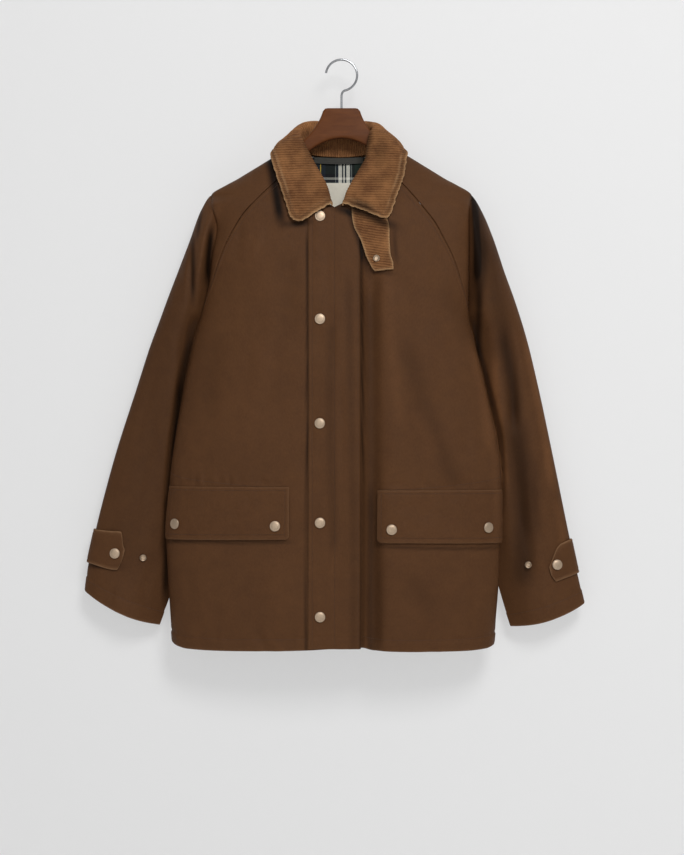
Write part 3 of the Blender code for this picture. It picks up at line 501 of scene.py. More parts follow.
def troughs(x: np.ndarray, z: np.ndarray, folds: Sequence[Fold], lead: float = 90.0, tail: float = 60.0,
            sway: float = 0.0) -> np.ndarray:
    """How far the folds push the cloth in at places in the upright plane.

    Args:
        x: Places across.
        z: Heights.
        folds: The folds.
        lead: Length over which a fold starts.
        tail: Length over which a fold ends.
        sway: How far a fold's middle line wanders, as a share of its half width.

    Returns:
        Depths in millimetres.
    """
    push = np.zeros(np.broadcast(x, z).shape)
    for number, fold in enumerate(folds):
        run_x, run_z = fold.x1 - fold.x0, fold.z1 - fold.z0
        length = math.hypot(run_x, run_z)
        along = ((x - fold.x0) * run_x + (z - fold.z0) * run_z) / length ** 2
        off = ((x - fold.x0) * run_z - (z - fold.z0) * run_x) / length / fold.half_width
        off = np.abs(off + sway * np.sin(5.0 * along + 1.7 * number))
        ends = (smooth(along * length / min(lead, 0.45 * length))
                * smooth((1 - along) * length / min(tail, 0.45 * length)))
        push += fold.depth * ends * (1 + np.cos(math.pi * np.clip(off, 0, 1))) / 2
    return push


class Trunk:
    """The trunk's front and back surfaces, with the valley that runs down beside the placket."""

    VALLEY_DEPTH = 8.5
    VALLEY_X = (27.0, 37.0)
    VALLEY_TOP = -262.0
    CALM_TOP = -160.0
    CALM_SIDE = 14.0
    LIFT_STEP = 1.0

    def __init__(self) -> None:
        """Read the trunk's table and seed its unevenness."""
        self.table = Table(BODY)
        self.broad = Wander(11)
        self.fine = Wander(12)

    def half(self, x: np.ndarray, z: np.ndarray) -> np.ndarray:
        """Half width on the side that x lies on."""
        return np.where(x >= 0, self.table("right", z), self.table("left", z))

    def creases(self, x: np.ndarray, z: np.ndarray, layer: Layer) -> np.ndarray:
        """Small creases and unevenness of one face, as a push inwards."""
        fade = smooth((self.CALM_TOP - z) / 60) * smooth((self.half(x, z) - np.abs(x)) / self.CALM_SIDE)
        if layer is Layer.FRONT:
            push = troughs(x, z, FRONT_FOLDS, CREASE_LEAD, CREASE_LEAD, 0.25)
            sway = 4 * self.broad(z / 120, z * 0)
            start, full = self.VALLEY_X
            valley = smooth((x - start) / 10) * (1 - smooth((x - full - 0.4 * sway) / (42 + sway)))
            deeper = 0.72 + 0.28 * smooth((-560 - z) / 120)
            push = push + self.VALLEY_DEPTH * valley * smooth((self.VALLEY_TOP - z) / 130) * deeper
            return fade * (push + 0.55 * self.broad(x / 34, z / 78) + 0.16 * self.fine(x / 9, z / 13))
        push = troughs(x, z, BACK_FOLDS, BROAD_LEAD, BROAD_LEAD, FOLD_SWAY)
        return fade * (push + 0.7 * self.broad(x / 40 + 20, z / 95) + 0.16 * self.fine(x / 10 + 9, z / 14))

    def depth(self, x: np.ndarray, z: np.ndarray, layer: Layer = Layer.FRONT, troughed: bool = True,
              creased: bool = True) -> np.ndarray:
        """Depth of the front or back surface.

        Args:
            x: Places across.
            z: Heights.
            layer: Which face.
            troughed: Whether the main troughs are in.
            creased: Whether the small creases are in.

        Returns:
            Y in millimetres.
        """
        x, z = np.broadcast_arrays(np.asarray(x, float), np.asarray(z, float))
        power = np.where(x >= 0, self.table("power_right", z), self.table("power_left", z))
        rim = np.where(x >= 0, self.table("rim_right", z), self.table("rim_left", z))
        depth = -self.table("front", z)
        if layer is Layer.BACK:
            power, rim, depth = np.full(x.shape, BACK_POWER), self.table("rim_back", z), self.table("back", z)
        share = np.clip(np.abs(x) / self.half(x, z), 0, 1)
        swell = (1 - share ** power) ** (1 / power)
        y = rim + (depth - rim) * swell
        if layer is Layer.FRONT and troughed:
            y = y + troughs(x, z, TROUGHS) * np.minimum(1.0, swell * 2)
        if creased:
            push = self.creases(x, z, layer)
            y = y + (push if layer is Layer.FRONT else -push)
        return y

    def side_line(self, line: np.ndarray, layer: Layer) -> np.ndarray:
        """Points in space of a side seam's pairs of x and z."""
        return np.stack([line[:, 0], self.depth(line[:, 0], line[:, 1], layer), line[:, 1]], -1)

    def lifted(self, x: np.ndarray, z: np.ndarray, lift: np.ndarray | float,
               troughed: bool = True) -> np.ndarray:
        """Points of the front, moved out along its normal."""
        x, z = np.broadcast_arrays(np.asarray(x, float), np.asarray(z, float))
        return np.stack([x, self.depth(x, z, troughed=troughed), z], -1) + (
            self.facing(x, z, troughed) * np.asarray(lift)[..., None])

    def facing(self, x: np.ndarray, z: np.ndarray, troughed: bool = True) -> np.ndarray:
        """Way that the front faces at places."""
        step, near = self.LIFT_STEP, lambda across, up: self.depth(x + across, z + up, troughed=troughed)
        slope_x = (near(step, 0) - near(-step, 0)) / 2 / step
        slope_z = (near(0, step) - near(0, -step)) / 2 / step
        return unit(np.stack([slope_x, -np.ones_like(slope_x), slope_z], -1))


def bulge(share: np.ndarray) -> np.ndarray:
    """Side view of a sleeve's front layer: a soft rise at the fold, round at the outer edge."""
    peak = 0.45
    rise = np.sin(math.pi / 2 * np.clip(share / peak, 0, 1)) ** 1.2
    fall = np.sqrt(np.clip(1 - (np.clip(share - peak, 0, 1) / (1 - peak)) ** 2, 0, 1))
    return np.where(share < peak, rise, fall)


class Arm:
    """The surface of one raglan sleeve."""

    CUFF_SAG = {Layer.FRONT: 8.0, Layer.BACK: 2.0}
    HALVINGS = 24
    FACING_STEP = 0.02

    def __init__(self, side: Side, trunk: Trunk) -> None:
        """Read the sleeve's table.

        Args:
            side: Which sleeve.
            trunk: The trunk it is sewn to.
        """
        self.side, self.trunk = side, trunk
        self.table = Table(SLEEVES[side])
        self.broad = Wander(21 + side.value)
        self.fine = Wander(31 + side.value)

    def trunk_half(self, z: np.ndarray) -> np.ndarray:
        """Half width of the trunk on this side."""
        return self.trunk.table(self.side.word, z)

    def crossing(self, seam: Sequence[np.ndarray], outer: Sequence[np.ndarray]) -> np.ndarray:
        """Where the line from a seam to the outer line crosses the trunk's side, as a share."""
        low, high = np.zeros(seam[0].shape), np.ones(seam[0].shape)
        for _ in range(self.HALVINGS):
            middle = (low + high) / 2
            inside = (seam[0] + (outer[0] - seam[0]) * middle
                      < self.trunk_half(seam[1] + (outer[1] - seam[1]) * middle))
            low, high = np.where(inside, middle, low), np.where(inside, high, middle)
        return high

    def points(self, place: np.ndarray, around: np.ndarray, creased: bool = True) -> np.ndarray:
        """Points of the sleeve's wall.

        Args:
            place: From the neck, 0, to the cuff, SLEEVE_ROWS.
            around: From the front seam, -1, over the outer edge, 0, to the back seam, 1.
            creased: Whether the small creases are in.

        Returns:
            Points in millimetres.
        """
        place, around = np.broadcast_arrays(np.asarray(place, float), np.asarray(around, float))
        sign, table, back = self.side.value, self.table, around > 0
        seam = (np.where(back, table("back_x", place), table("seam_x", place)),
                np.where(back, table("back_z", place), table("seam_z", place)))
        outer = (table("outer_x", place), table("outer_z", place))
        share = 1 - np.abs(around)
        x = seam[0] + (outer[0] - seam[0]) * share
        z = seam[1] + (outer[1] - seam[1]) * share
        upper = place <= ARM_ROWS
        crossing = np.where(upper, self.crossing(seam, outer), 0.0)
        rim_z = seam[1] + (outer[1] - seam[1]) * crossing
        rims = (self.trunk.table(f"rim_{word}", rim_z) for word in ("back", self.side.word))
        rim = np.where(back, *rims)
        inner = table("inner_y", place)
        rim = np.where(upper, rim, inner)
        start = rim + (inner - rim) * np.clip(place - ARM_ROWS + 1, 0, 1)
        free = np.clip((share - crossing) / np.maximum(1 - crossing, 1e-6), 0, 1)
        level = start + (table("outer_y", place) - start) * free
        behind = level + table("back", place) * (1 - np.abs(2 * free - 1) ** BACK_POWER) ** (1 / BACK_POWER)
        before = level - table("front", place) * bulge(free) + troughs(sign * x, z, TROUGHS)
        if creased:
            fade = smooth(place / 4) * np.clip(4 * free * (1 - free), 0, 1) ** 0.6
            rough = 0.7 * self.broad(x / 30, z / 62) + 0.22 * self.fine(x / 9, z / 14)
            small = troughs(sign * x, z, SLEEVE_FOLDS, CREASE_LEAD, CREASE_LEAD, FOLD_SWAY)
            broad = troughs(sign * x, z, BACK_FOLDS, BROAD_LEAD, BROAD_LEAD, FOLD_SWAY)
            before, behind = before + fade * (small + rough), behind - fade * (broad + rough)
        half = self.trunk_half(z)
        clear = SIDE_CLEAR * smooth(place - ARM_ROWS)
        limit = (self.trunk.depth(sign * np.clip(np.minimum(x, half) - SIDE_CLEAR, 0, None), z, Layer.BACK,
                                  creased=False) + clear - 2.0 * np.clip(x - half - SIDE_CLEAR, 0, None))
        before = before + np.clip(limit - before, 0, None) * smooth(place - ARM_ROWS)
        y = np.where(back, behind, before)
        on_trunk = upper & (share <= crossing)
        flat = np.where(back, self.trunk.depth(sign * x, z, Layer.BACK, creased=creased),
                        self.trunk.depth(sign * x, z, Layer.FRONT, creased=creased))
        y = np.where(on_trunk, flat, y)
        sag = 4 * np.abs(around) * (1 - np.abs(around)) * np.clip(place - SLEEVE_ROWS + 1, 0, 1)
        z = z - sag * np.where(back, self.CUFF_SAG[Layer.BACK], self.CUFF_SAG[Layer.FRONT])
        return np.stack([sign * x, y, z], -1)

    def facing(self, place: np.ndarray, around: np.ndarray) -> np.ndarray:
        """Way that the sleeve's wall faces at places."""
        step = self.FACING_STEP
        across = self.points(place, around + step, False) - self.points(place, around - step, False)
        down = self.points(place + step, around, False) - self.points(place - step, around, False)
        return unit(np.cross(down, across) * self.side.value)

    def lifted(self, place: np.ndarray, around: np.ndarray, lift: float) -> np.ndarray:
        """Points of the sleeve's wall, moved out."""
        return self.points(place, around, False) + self.facing(place, around) * lift


def layered(grid: np.ndarray, folds: Sequence[Fold]) -> np.ndarray:
    """Painted shade and painted light at each point of a grid, read from a table, as the share of its
    colour's value taken away.
    """
    return np.clip(troughs(grid[..., 0], grid[..., 2], folds, CREASE_LEAD, CREASE_LEAD, 0.2), -0.6, 0.9)


# ---------------------------------------------------------------- meshes of cloth


@dataclass
class Cut:
    """A piece of cloth as a grid of its middle surface, in millimetres.

    Attributes:
        name: Name of the piece.
        grid: Points, rows by columns by 3.
        wall: Thickness.
        outward: A direction, or one for each point, on the side that faces out.
        weld_from: First row at which the last column is the first one, on a tube.
        relief: Extra height of the outer face at each point.
        wear: How worn the cloth is at each point, 0 to 1.
        slope: Pattern coordinate for each point, in millimetres, kept as an attribute.
        lay: Painted shade at each point where above 0, which darkens the colour, and painted light where
            below 0, which lightens it.
    """

    name: str
    grid: np.ndarray
    wall: float
    outward: np.ndarray
    weld_from: int | None = None
    relief: np.ndarray | None = None
    wear: np.ndarray | None = None
    slope: np.ndarray | None = None
    lay: np.ndarray | None = None

    def normals(self) -> np.ndarray:
        """Unit normals of the grid, on the outward side."""
        rows, columns = np.gradient(self.grid, axis=0), np.gradient(self.grid, axis=1)
        normal = unit(np.cross(rows, columns))
        if self.weld_from is not None:
            joined = slice(self.weld_from, None)
            normal[joined, 0] = normal[joined, -1] = unit(normal[joined, 0] + normal[joined, -1])
        self.sign = 1.0 if np.sum(normal * self.outward) > 0 else -1.0
        return normal * self.sign

    def sizes(self) -> tuple[float, float]:
        """Greatest width and length along the cloth, in metres."""
        return tuple(float(run_along(self.grid, axis).max()) * MM for axis in (1, 0))

    def outer(self) -> np.ndarray:
        """Points of the outer face."""
        relief = 0.0 if self.relief is None else self.relief[..., None]
        return self.grid + self.normals() * (self.wall / 2 + relief)

    def area(self) -> float:
        """Area of the cloth, in square metres."""
        one = self.grid[1:, 1:] - self.grid[:-1, :-1]
        two = self.grid[1:, :-1] - self.grid[:-1, 1:]
        return float(np.linalg.norm(np.cross(one, two), axis=-1).sum() / 2) * MM * MM

    def build(self) -> bpy.types.Object:
        """Make the closed shell: outer face in slot 0, inner face in slot 1.

        Returns:
            The new object.
        """
        count_r, count_c = self.grid.shape[:2]
        inner = self.grid - self.normals() * self.wall / 2
        points = np.concatenate([self.outer().reshape(-1, 3), inner.reshape(-1, 3)]) * MM
        number = np.arange(count_r * count_c).reshape(count_r, count_c)
        total = number.size
        quads = np.stack([number[:-1, :-1], number[1:, :-1], number[1:, 1:], number[:-1, 1:]], -1)
        quads = quads.reshape(-1, 4)
        rims = [(number[0, :-1], number[0, 1:]), (number[-1, 1:], number[-1, :-1])]
        end = count_r if self.weld_from is None else self.weld_from + 1
        rims += [(number[1:end, 0], number[:end - 1, 0]), (number[:end - 1, -1], number[1:end, -1])]
        edge = np.concatenate([np.stack([a, b, b + total, a + total], -1) for a, b in rims])
        faces = np.concatenate([quads, quads[:, ::-1] + total, edge])
        if self.sign < 0:
            faces = faces[:, ::-1]
        slots = np.concatenate([np.zeros(len(quads)), np.ones(len(quads)), np.zeros(len(edge))]).astype(int)
        place = np.arange(2 * total)
        if self.weld_from is not None:
            place[number[self.weld_from:, -1]] = number[self.weld_from:, 0]
            place[number[self.weld_from:, -1] + total] = number[self.weld_from:, 0] + total
        used, compact = np.unique(place, return_inverse=True)
        mesh = bpy.data.meshes.new(self.name)
        mesh.from_pydata(points[used].tolist(), [], compact[faces].tolist())
        mesh.polygons.foreach_set("material_index", slots)
        places = np.stack([run_along(self.grid, axis) for axis in (1, 0)], -1)
        uv = np.tile(places.reshape(-1, 2) * MM, (2, 1))
        mesh.uv_layers.new(name="cut").data.foreach_set("uv", uv[faces.reshape(-1)].reshape(-1))
        for title, values in (("wear", self.wear), ("slope", self.slope), ("lay", self.lay)):
            if values is not None:
                both = np.tile(np.asarray(values, float).reshape(-1), 2)[used]
                mesh.attributes.new(title, "FLOAT", "POINT").data.foreach_set("value", both)
        mesh.validate()
        mesh.shade_smooth()
        mesh.set_sharp_from_angle(angle=SHARP_EDGE)
        return shown(self.name, mesh)


def border_distance(grid: np.ndarray, borders: str = "tblr") -> np.ndarray:
    """Distance of each grid point from the nearest of the named borders: t, b, l or r.

    Args:
        grid: Points, rows by columns by 3.
        borders: The borders that count.

    Returns:
        Distances in millimetres.
    """
    across, along = run_along(grid, 1), run_along(grid)
    choices = {"l": across, "r": across[:, -1:] - across, "t": along, "b": along[-1:] - along}
    return np.min([choices[letter] for letter in borders], axis=0)


def groove(distance: np.ndarray, at: float, width: float, depth: float) -> np.ndarray:
    """Relief of a stitched line that runs at a distance from a border."""
    return -depth * np.exp(-((distance - at) / width) ** 2)


def worn(distance: np.ndarray, amount: float, reach: float) -> np.ndarray:
    """Wear that fades from a border."""
    return amount * np.exp(-distance / reach)


def turned_up(low: np.ndarray, depth: float, rise: float, line: tuple[float, float],
              puckers: np.ndarray, reach: float) -> np.ndarray:
    """Relief of a turned-up edge.

    Args:
        low: Distance from the edge.
        depth: Width of the turned-up band.
        rise: How much the band stands out.
        line: Width and depth of its stitch line.
        puckers: Unevenness beside the line.
        reach: How far from the line the puckers go.

    Returns:
        Heights in millimetres.
    """
    return (rise * (1 - smooth((low - depth + 1.2) / 2.4)) + groove(low, depth, *line)
            + puckers * np.exp(-((low - depth) / reach) ** 2) + edge_roll(low, *HEM_END))


def edge_roll(distance: np.ndarray, reach: float, drop: float) -> np.ndarray:
    """Relief that rounds a border off."""
    return -drop * (1 - np.sqrt(np.clip(1 - (1 - np.clip(distance / reach, 0, 1)) ** 2, 0, 1)))


def rounded(grid: np.ndarray, radius: float, corners: Sequence[str]) -> np.ndarray:
    """Round corners of a grid off.

    Args:
        grid: Points, rows by columns by 3.
        radius: Radius in millimetres.
        corners: Names of corners, such as "tl" or "br".

    Returns:
        The changed grid.
    """
    moved = grid.copy()
    across, down = unit(np.gradient(grid, axis=1)), unit(np.gradient(grid, axis=0))
    for corner in corners:
        a = np.clip(1 - border_distance(grid, corner[1]) / radius, 0, 1)
        b = np.clip(1 - border_distance(grid, corner[0]) / radius, 0, 1)
        share = 1 - np.maximum(a, b) / np.maximum(np.hypot(a, b), TINY)
        share = np.where((a > 0) & (b > 0), share, 0.0)
        moved += across * (a * share * radius * (1 if corner[1] == "l" else -1))[..., None]
        moved += down * (b * share * radius * (1 if corner[0] == "t" else -1))[..., None]
    return moved


def nudge(grid: np.ndarray, near: float, far: float, top: float, bottom: float) -> np.ndarray:
    """Move a grid's border points inwards, so that neighbours stay clear."""
    moved = grid.copy()
    moved[:, 0] += unit(grid[:, 1] - grid[:, 0]) * near
    moved[:, -1] += unit(grid[:, -2] - grid[:, -1]) * far
    moved[0] += unit(grid[1] - grid[0]) * top
    moved[-1] += unit(grid[-2] - grid[-1]) * bottom
    return moved


@dataclass
class Stitching:
    """Rows of small stitches, gathered into one mesh."""

    name: str
    pitch: float = 3.6
    length: float = 2.7
    radius: float = 0.33
    points: list[np.ndarray] = field(default_factory=list)
    faces: list[np.ndarray] = field(default_factory=list)
    count: int = 0

    SHOULDER = 0.32
    VERTS = 10

    def run(self, line: np.ndarray, normal: np.ndarray, lift: float = 0.1) -> None:
        """Add the stitches along a line.

        Args:
            line: Points of the line, in millimetres.
            normal: The cloth's outward normal at each point.
            lift: Height of the thread's middle over the line.
        """
        far = run_along(line)
        count = int(far[-1] / self.pitch)
        if count < 1:
            return
        middle = (np.arange(count) + 0.5) * far[-1] / count

        def at(values: np.ndarray, place: np.ndarray) -> np.ndarray:
            return np.stack([np.interp(place, far, values[:, axis]) for axis in range(3)], -1)

        head, tail = at(line, middle - self.length / 2), at(line, middle + self.length / 2)
        up, way = unit(at(normal, middle)), unit(tail - head)
        length = np.linalg.norm(tail - head, axis=-1, keepdims=True)
        side = np.cross(way, up)
        centre = (head + tail) / 2 + up * lift
        verts = [centre - way * length / 2 - up * self.radius]
        for along in (-self.SHOULDER, self.SHOULDER):
            for a, b in ((1, 0), (0, 1), (-1, 0), (0, -1)):
                verts.append(centre + way * length * along + (side * a + up * b) * self.radius)
        verts.append(centre + way * length / 2 - up * self.radius)
        block = np.stack(verts, 1)
        shape = [(0, 2, 1), (0, 3, 2), (0, 4, 3), (0, 1, 4)]
        shape += [(9, 5, 6), (9, 6, 7), (9, 7, 8), (9, 8, 5)]
        for i in range(4):
            j = (i + 1) % 4
            shape += [(1 + i, 1 + j, 5 + j), (1 + i, 5 + j, 5 + i)]
        base = self.count + np.arange(count)[:, None, None] * self.VERTS
        self.points.append(block.reshape(-1, 3))
        self.faces.append((base + np.array(shape)[None]).reshape(-1, 3))
        self.count += count * self.VERTS

    def build(self) -> bpy.types.Object:
        """Make the mesh of all the stitches.

        Returns:
            The new object.
        """
        mesh = bpy.data.meshes.new(self.name)
        mesh.from_pydata((np.concatenate(self.points) * MM).tolist(), [], np.concatenate(self.faces).tolist())
        face_outwards(mesh)
        mesh.shade_smooth()
        return shown(self.name, mesh)


# ---------------------------------------------------------------- finishes


class Field:
    """A socket that takes part in Python expressions, each of which adds a Math node."""

    def __init__(self, desk: "Desk", socket: bpy.types.NodeSocket) -> None:
        """Wrap a socket of a material's nodes."""
        self.desk, self.socket = desk, socket

    def _with(self, operation: str, *others: "Field | float") -> "Field":
        values = {index + 1: value for index, value in enumerate(others)}
        return self.desk.node("ShaderNodeMath", {"operation": operation}, {0: self, **values})

    def __add__(self, other: "Field | float") -> "Field":
        return self._with("ADD", other)

    __radd__ = __add__

    def __mul__(self, other: "Field | float") -> "Field":
        return self._with("MULTIPLY", other)

    __rmul__ = __mul__

    def __sub__(self, other: "Field | float") -> "Field":
        return self._with("SUBTRACT", other)

    def __rsub__(self, other: "Field | float") -> "Field":
        return self.desk.node("ShaderNodeMath", {"operation": "SUBTRACT"}, {0: other, 1: self})

    def __pow__(self, other: float) -> "Field":
        return self._with("POWER", other)

    def wave(self) -> "Field":
        """Sine of the value."""
        return self._with("SINE")

    def held(self) -> "Field":
        """The value kept between 0 and 1."""
        return self.desk.node("ShaderNodeClamp", {}, {0: self})


class Desk:
    """The nodes of one material, made through a single method."""

    def __init__(self, name: str) -> None:
        """Start a material.

        Args:
            name: Name of the material.
        """
        self.material = bpy.data.materials.new(name)
        self.material.use_nodes = True
        self.tree = self.material.node_tree
        self.shader = self.tree.nodes["Principled BSDF"]

    def node(self, kind: str, settings: dict, values: dict, out: int | str = 0) -> Field:
        """Add a node.

        Args:
            kind: Type of the node.
            settings: Its properties; "stops" are the places and colours of a ramp.
            values: Values or links of its sockets, by name or number.
            out: The output to return.

        Returns:
            The output as a field.
        """
        made = self.tree.nodes.new(kind)
        for key, value in settings.items():
            if key == "stops":
                ramp = made.color_ramp
                while len(ramp.elements) < len(value):
                    ramp.elements.new(1.0)
                for element, (place, colour) in zip(ramp.elements, value):
                    element.position = place
                    element.color = (*colour, 1.0)
            elif key == "ease":
                made.color_ramp.interpolation = value
            else:
                setattr(made, key, value)
        for key, value in values.items():
            self.plug(made.inputs[key], value)
        return Field(self, made.outputs[out])

    def plug(self, socket: bpy.types.NodeSocket, value: object) -> None:
        """Link a field to a socket, or set the socket's own value."""
        if isinstance(value, Field):
            self.tree.links.new(value.socket, socket)
        else:
            socket.default_value = value

    def set(self, **values: object) -> None:
        """Set or link the shader's sockets; an underscore stands for a space."""
        for key, value in values.items():
            self.plug(self.shader.inputs[key.replace("_", " ")], value)

    def position(self) -> Field:
        """Object coordinates."""
        return self.node("ShaderNodeTexCoord", {}, {}, "Object")

    def cut(self) -> Field:
        """Coordinates along the cloth."""
        return self.node("ShaderNodeUVMap", {"uv_map": "cut"}, {})

    def axis(self, vector: Field, name: str) -> Field:
        """One component of a vector."""
        return self.node("ShaderNodeSeparateXYZ", {}, {0: vector}, name)

    def noise(self, vector: Field, scale: float, detail: float = 3.0, rough: float = 0.5) -> Field:
        """Noise from 0 to 1."""
        return self.node("ShaderNodeTexNoise", {}, {"Vector": vector, "Scale": scale, "Detail": detail,
                                                     "Roughness": rough})

    def stretched(self, vector: Field, x: float, y: float, z: float) -> Field:
        """A vector scaled on each axis."""
        return self.node("ShaderNodeMapping", {}, {"Vector": vector, "Scale": (x, y, z)})

    def attribute(self, name: str) -> Field:
        """A value that the mesh carries."""
        return self.node("ShaderNodeAttribute", {"attribute_name": name}, {}, "Fac")

    def mix(self, share: Field | float, one: object, two: object) -> Field:
        """Blend of two colours."""
        return self.node("ShaderNodeMix", {"data_type": "RGBA"}, {0: share, 6: one, 7: two}, 2)

    def shaded(self, colour: object, amount: Field) -> Field:
        """A colour with its value multiplied."""
        return self.node("ShaderNodeHueSaturation", {}, {"Color": colour, "Value": amount})

    def bump(self, height: Field, strength: float, distance: float, under: Field | None = None) -> Field:
        """A bump node's normal."""
        values = {"Height": height, "Strength": strength, "Distance": distance}
        if under is not None:
            values["Normal"] = under
        return self.node("ShaderNodeBump", {}, values)


Colour = tuple[float, float, float, float]


def paint(red: int, green: int, blue: int) -> Colour:
    """A colour from its screen values, 0 to 255."""
    def linear(value: int) -> float:
        share = value / 255
        return share / 12.92 if share <= 0.04045 else ((share + 0.055) / 1.055) ** 2.4
    return (linear(red), linear(green), linear(blue), 1.0)


@dataclass(frozen=True)
class WaxedCotton:
    """Brown waxed cotton: mottled, dull, with a close weave and pale worn edges, darkened by painted shade
    and lightened by painted light that the mesh carries.
    """

    name: str = "waxed cotton"
    dark: Colour = paint(76, 49, 30)
    light: Colour = paint(95, 63, 38)
    worn: Colour = paint(142, 108, 78)
    roughness: float = 0.56
    weave: float = 0.0011

    def material(self) -> bpy.types.Material:
        """Make the material."""
        desk = Desk(self.name)
        place, cut = desk.position(), desk.cut()
        clouds = desk.noise(place, 9.0, 5.0, 0.62)
        flecks = desk.noise(desk.stretched(cut, 1.0, 0.55, 1.0), 420.0, 3.0, 0.6)
        blotch = desk.noise(place, 46.0, 4.0, 0.65)
        tone = (clouds * 0.6 + blotch * 0.7 + flecks * 0.9 - 0.6).held()
        colour = desk.mix(tone, self.dark, self.light)
        rubbed = (desk.attribute("wear") * (0.55 + 0.9 * desk.noise(place, 160.0, 3.0))).held()
        # Painted shade and painted light: the mesh's attribute takes a share of the colour's value away, or
        # adds it where below 0.
        colour = desk.shaded(desk.mix(rubbed * 0.72, colour, self.worn), 1.0 - desk.attribute("lay"))
        threads = math.tau / self.weave
        weft = (desk.axis(cut, "X") * threads).wave() * (desk.axis(cut, "Y") * threads).wave()
        fine = desk.bump(weft * 0.5 + flecks * 1.4, 0.35, 0.0003)
        crumple = desk.noise(desk.stretched(place, 1.0, 1.0, 0.45), 70.0, 4.0, 0.6)
        creased = desk.bump(crumple, 0.35, 0.0011, fine)
        desk.set(Base_Color=colour, Roughness=self.roughness + 0.22 * (blotch - 0.5) + rubbed * 0.1,
                 Normal=creased, Specular_IOR_Level=0.08)
        return desk.material


@dataclass(frozen=True)
class Corduroy:
    """Tan corduroy: soft wales, shaded between them, with a nap that catches the light."""

    name: str = "tan corduroy"
    ridge: Colour = paint(143, 99, 62)
    valley: Colour = paint(92, 59, 36)
    rubbed: Colour = paint(190, 152, 110)
    pitch: float = 4.0

    def material(self) -> bpy.types.Material:
        """Make the material."""
        desk = Desk(self.name)
        place = desk.position()
        slope = desk.attribute("slope") + (desk.noise(place, 60.0, 3.0) - 0.5) * 2.6
        wale = (slope * (math.tau / self.pitch)).wave() * 0.5 + 0.5
        nap = desk.noise(place, 900.0, 3.0, 0.7)
        cloud = desk.noise(place, 34.0, 4.0, 0.6)
        colour = desk.mix((wale ** 0.7 * 0.5 + (nap - 0.5) * 1.5 + (cloud - 0.5) * 2.6 + 0.2).held(),
                          self.valley, self.ridge)
        colour = desk.mix((desk.attribute("wear") * (0.4 + 1.2 * nap)).held() * 0.8, colour, self.rubbed)
        # Painted shade and painted light: the mesh's attribute takes a share of the colour's value away, or
        # adds it where below 0.
        colour = desk.shaded(colour, 1.0 - desk.attribute("lay"))
        pile = desk.bump(nap, 0.5, 0.0006)
        desk.set(Base_Color=colour, Roughness=0.9 - wale * 0.12,
                 Normal=desk.bump(wale ** 0.6, 0.6, 0.0009, pile), Specular_IOR_Level=0.1,
                 Sheen_Weight=0.12, Sheen_Roughness=0.4, Sheen_Tint=paint(214, 180, 140))
        return desk.material


class Stripe(NamedTuple):
    """One run of yarn in the check, from its start, in millimetres."""

    start: float
    colour: Colour


NAVY, PINE, BLACK = paint(24, 30, 44), paint(30, 44, 36), paint(15, 17, 20)
PALE, GREY, GOLD = paint(226, 224, 210), paint(120, 126, 122), paint(212, 176, 60)


@dataclass(frozen=True)
class CheckedLining:
    """Dark check of navy and pine with pale, grey and gold lines."""

    name: str = "checked lining"
    repeat: float = 96.0
    warp: tuple[Stripe, ...] = rows_of(
        Stripe,
        (0, NAVY), (12.2, GOLD), (13.6, NAVY), (21, BLACK), (36.6, GREY), (37.8, NAVY), (42, PALE),
        (47.6, NAVY), (49.6, PALE), (52, NAVY), (54.5, PALE), (60.2, NAVY), (62, GREY), (63.4, BLACK),
        (68, PINE), (85, BLACK), (92, NAVY),
    )
    weft: tuple[Stripe, ...] = rows_of(
        Stripe,
        (0, NAVY), (10, GOLD), (11.4, NAVY), (20, BLACK), (30, GREY), (31.4, NAVY), (34.6, PALE),
        (38.4, BLACK), (44, PINE), (62, BLACK), (70, PALE), (73, NAVY), (84, PINE),
    )

    def yarns(self, desk: Desk, place: Field, offset: float, stripes: tuple[Stripe, ...]) -> Field:
        """Colour of one set of yarns from a place in metres."""
        turn = place * (1 / (self.repeat * MM)) + offset
        share = desk.node("ShaderNodeMath", {"operation": "FRACT"}, {0: turn})
        stops = [(stripe.start / self.repeat, stripe.colour[:3]) for stripe in stripes]
        return desk.node("ShaderNodeValToRGB", {"ease": "CONSTANT", "stops": stops}, {0: share})

    def material(self) -> bpy.types.Material:
        """Make the material."""
        desk = Desk(self.name)
        place = desk.position()
        warp = self.yarns(desk, desk.axis(place, "X"), 46.9 / self.repeat, self.warp)
        weft = self.yarns(desk, desk.axis(place, "Z"), 221.5 / self.repeat, self.weft)
        twill = ((desk.axis(place, "X") + desk.axis(place, "Z")) * (math.tau / 0.0016)).wave() * 0.5 + 0.5
        colour = desk.mix(twill * 0.2 + 0.2, warp, weft)
        nap = desk.noise(place, 700.0, 2.0)
        desk.set(Base_Color=desk.shaded(colour, nap * 0.5 + 0.8), Roughness=0.82,
                 Normal=desk.bump(twill + nap, 0.3, 0.0003), Specular_IOR_Level=0.3, Sheen_Weight=0.1)
        return desk.material


@dataclass(frozen=True)
class Woven:
    """A plain woven finish for small pieces, such as a label, a band or thread."""

    name: str
    base: Colour
    other: Colour
    roughness: float = 0.75
    rib: float = 0.0014

    def material(self) -> bpy.types.Material:
        """Make the material."""
        desk = Desk(self.name)
        place = desk.position()
        slanted = desk.axis(place, "X") + desk.axis(place, "Z") * 0.3
        ribs = (slanted * (math.tau / self.rib)).wave() * 0.5 + 0.5
        cloud = desk.noise(place, 240.0, 3.0)
        desk.set(Base_Color=desk.mix((ribs * 0.5 + cloud * 0.7 - 0.1).held(), self.base, self.other),
                 Roughness=self.roughness, Normal=desk.bump(ribs + cloud, 0.4, 0.0003))
        return desk.material


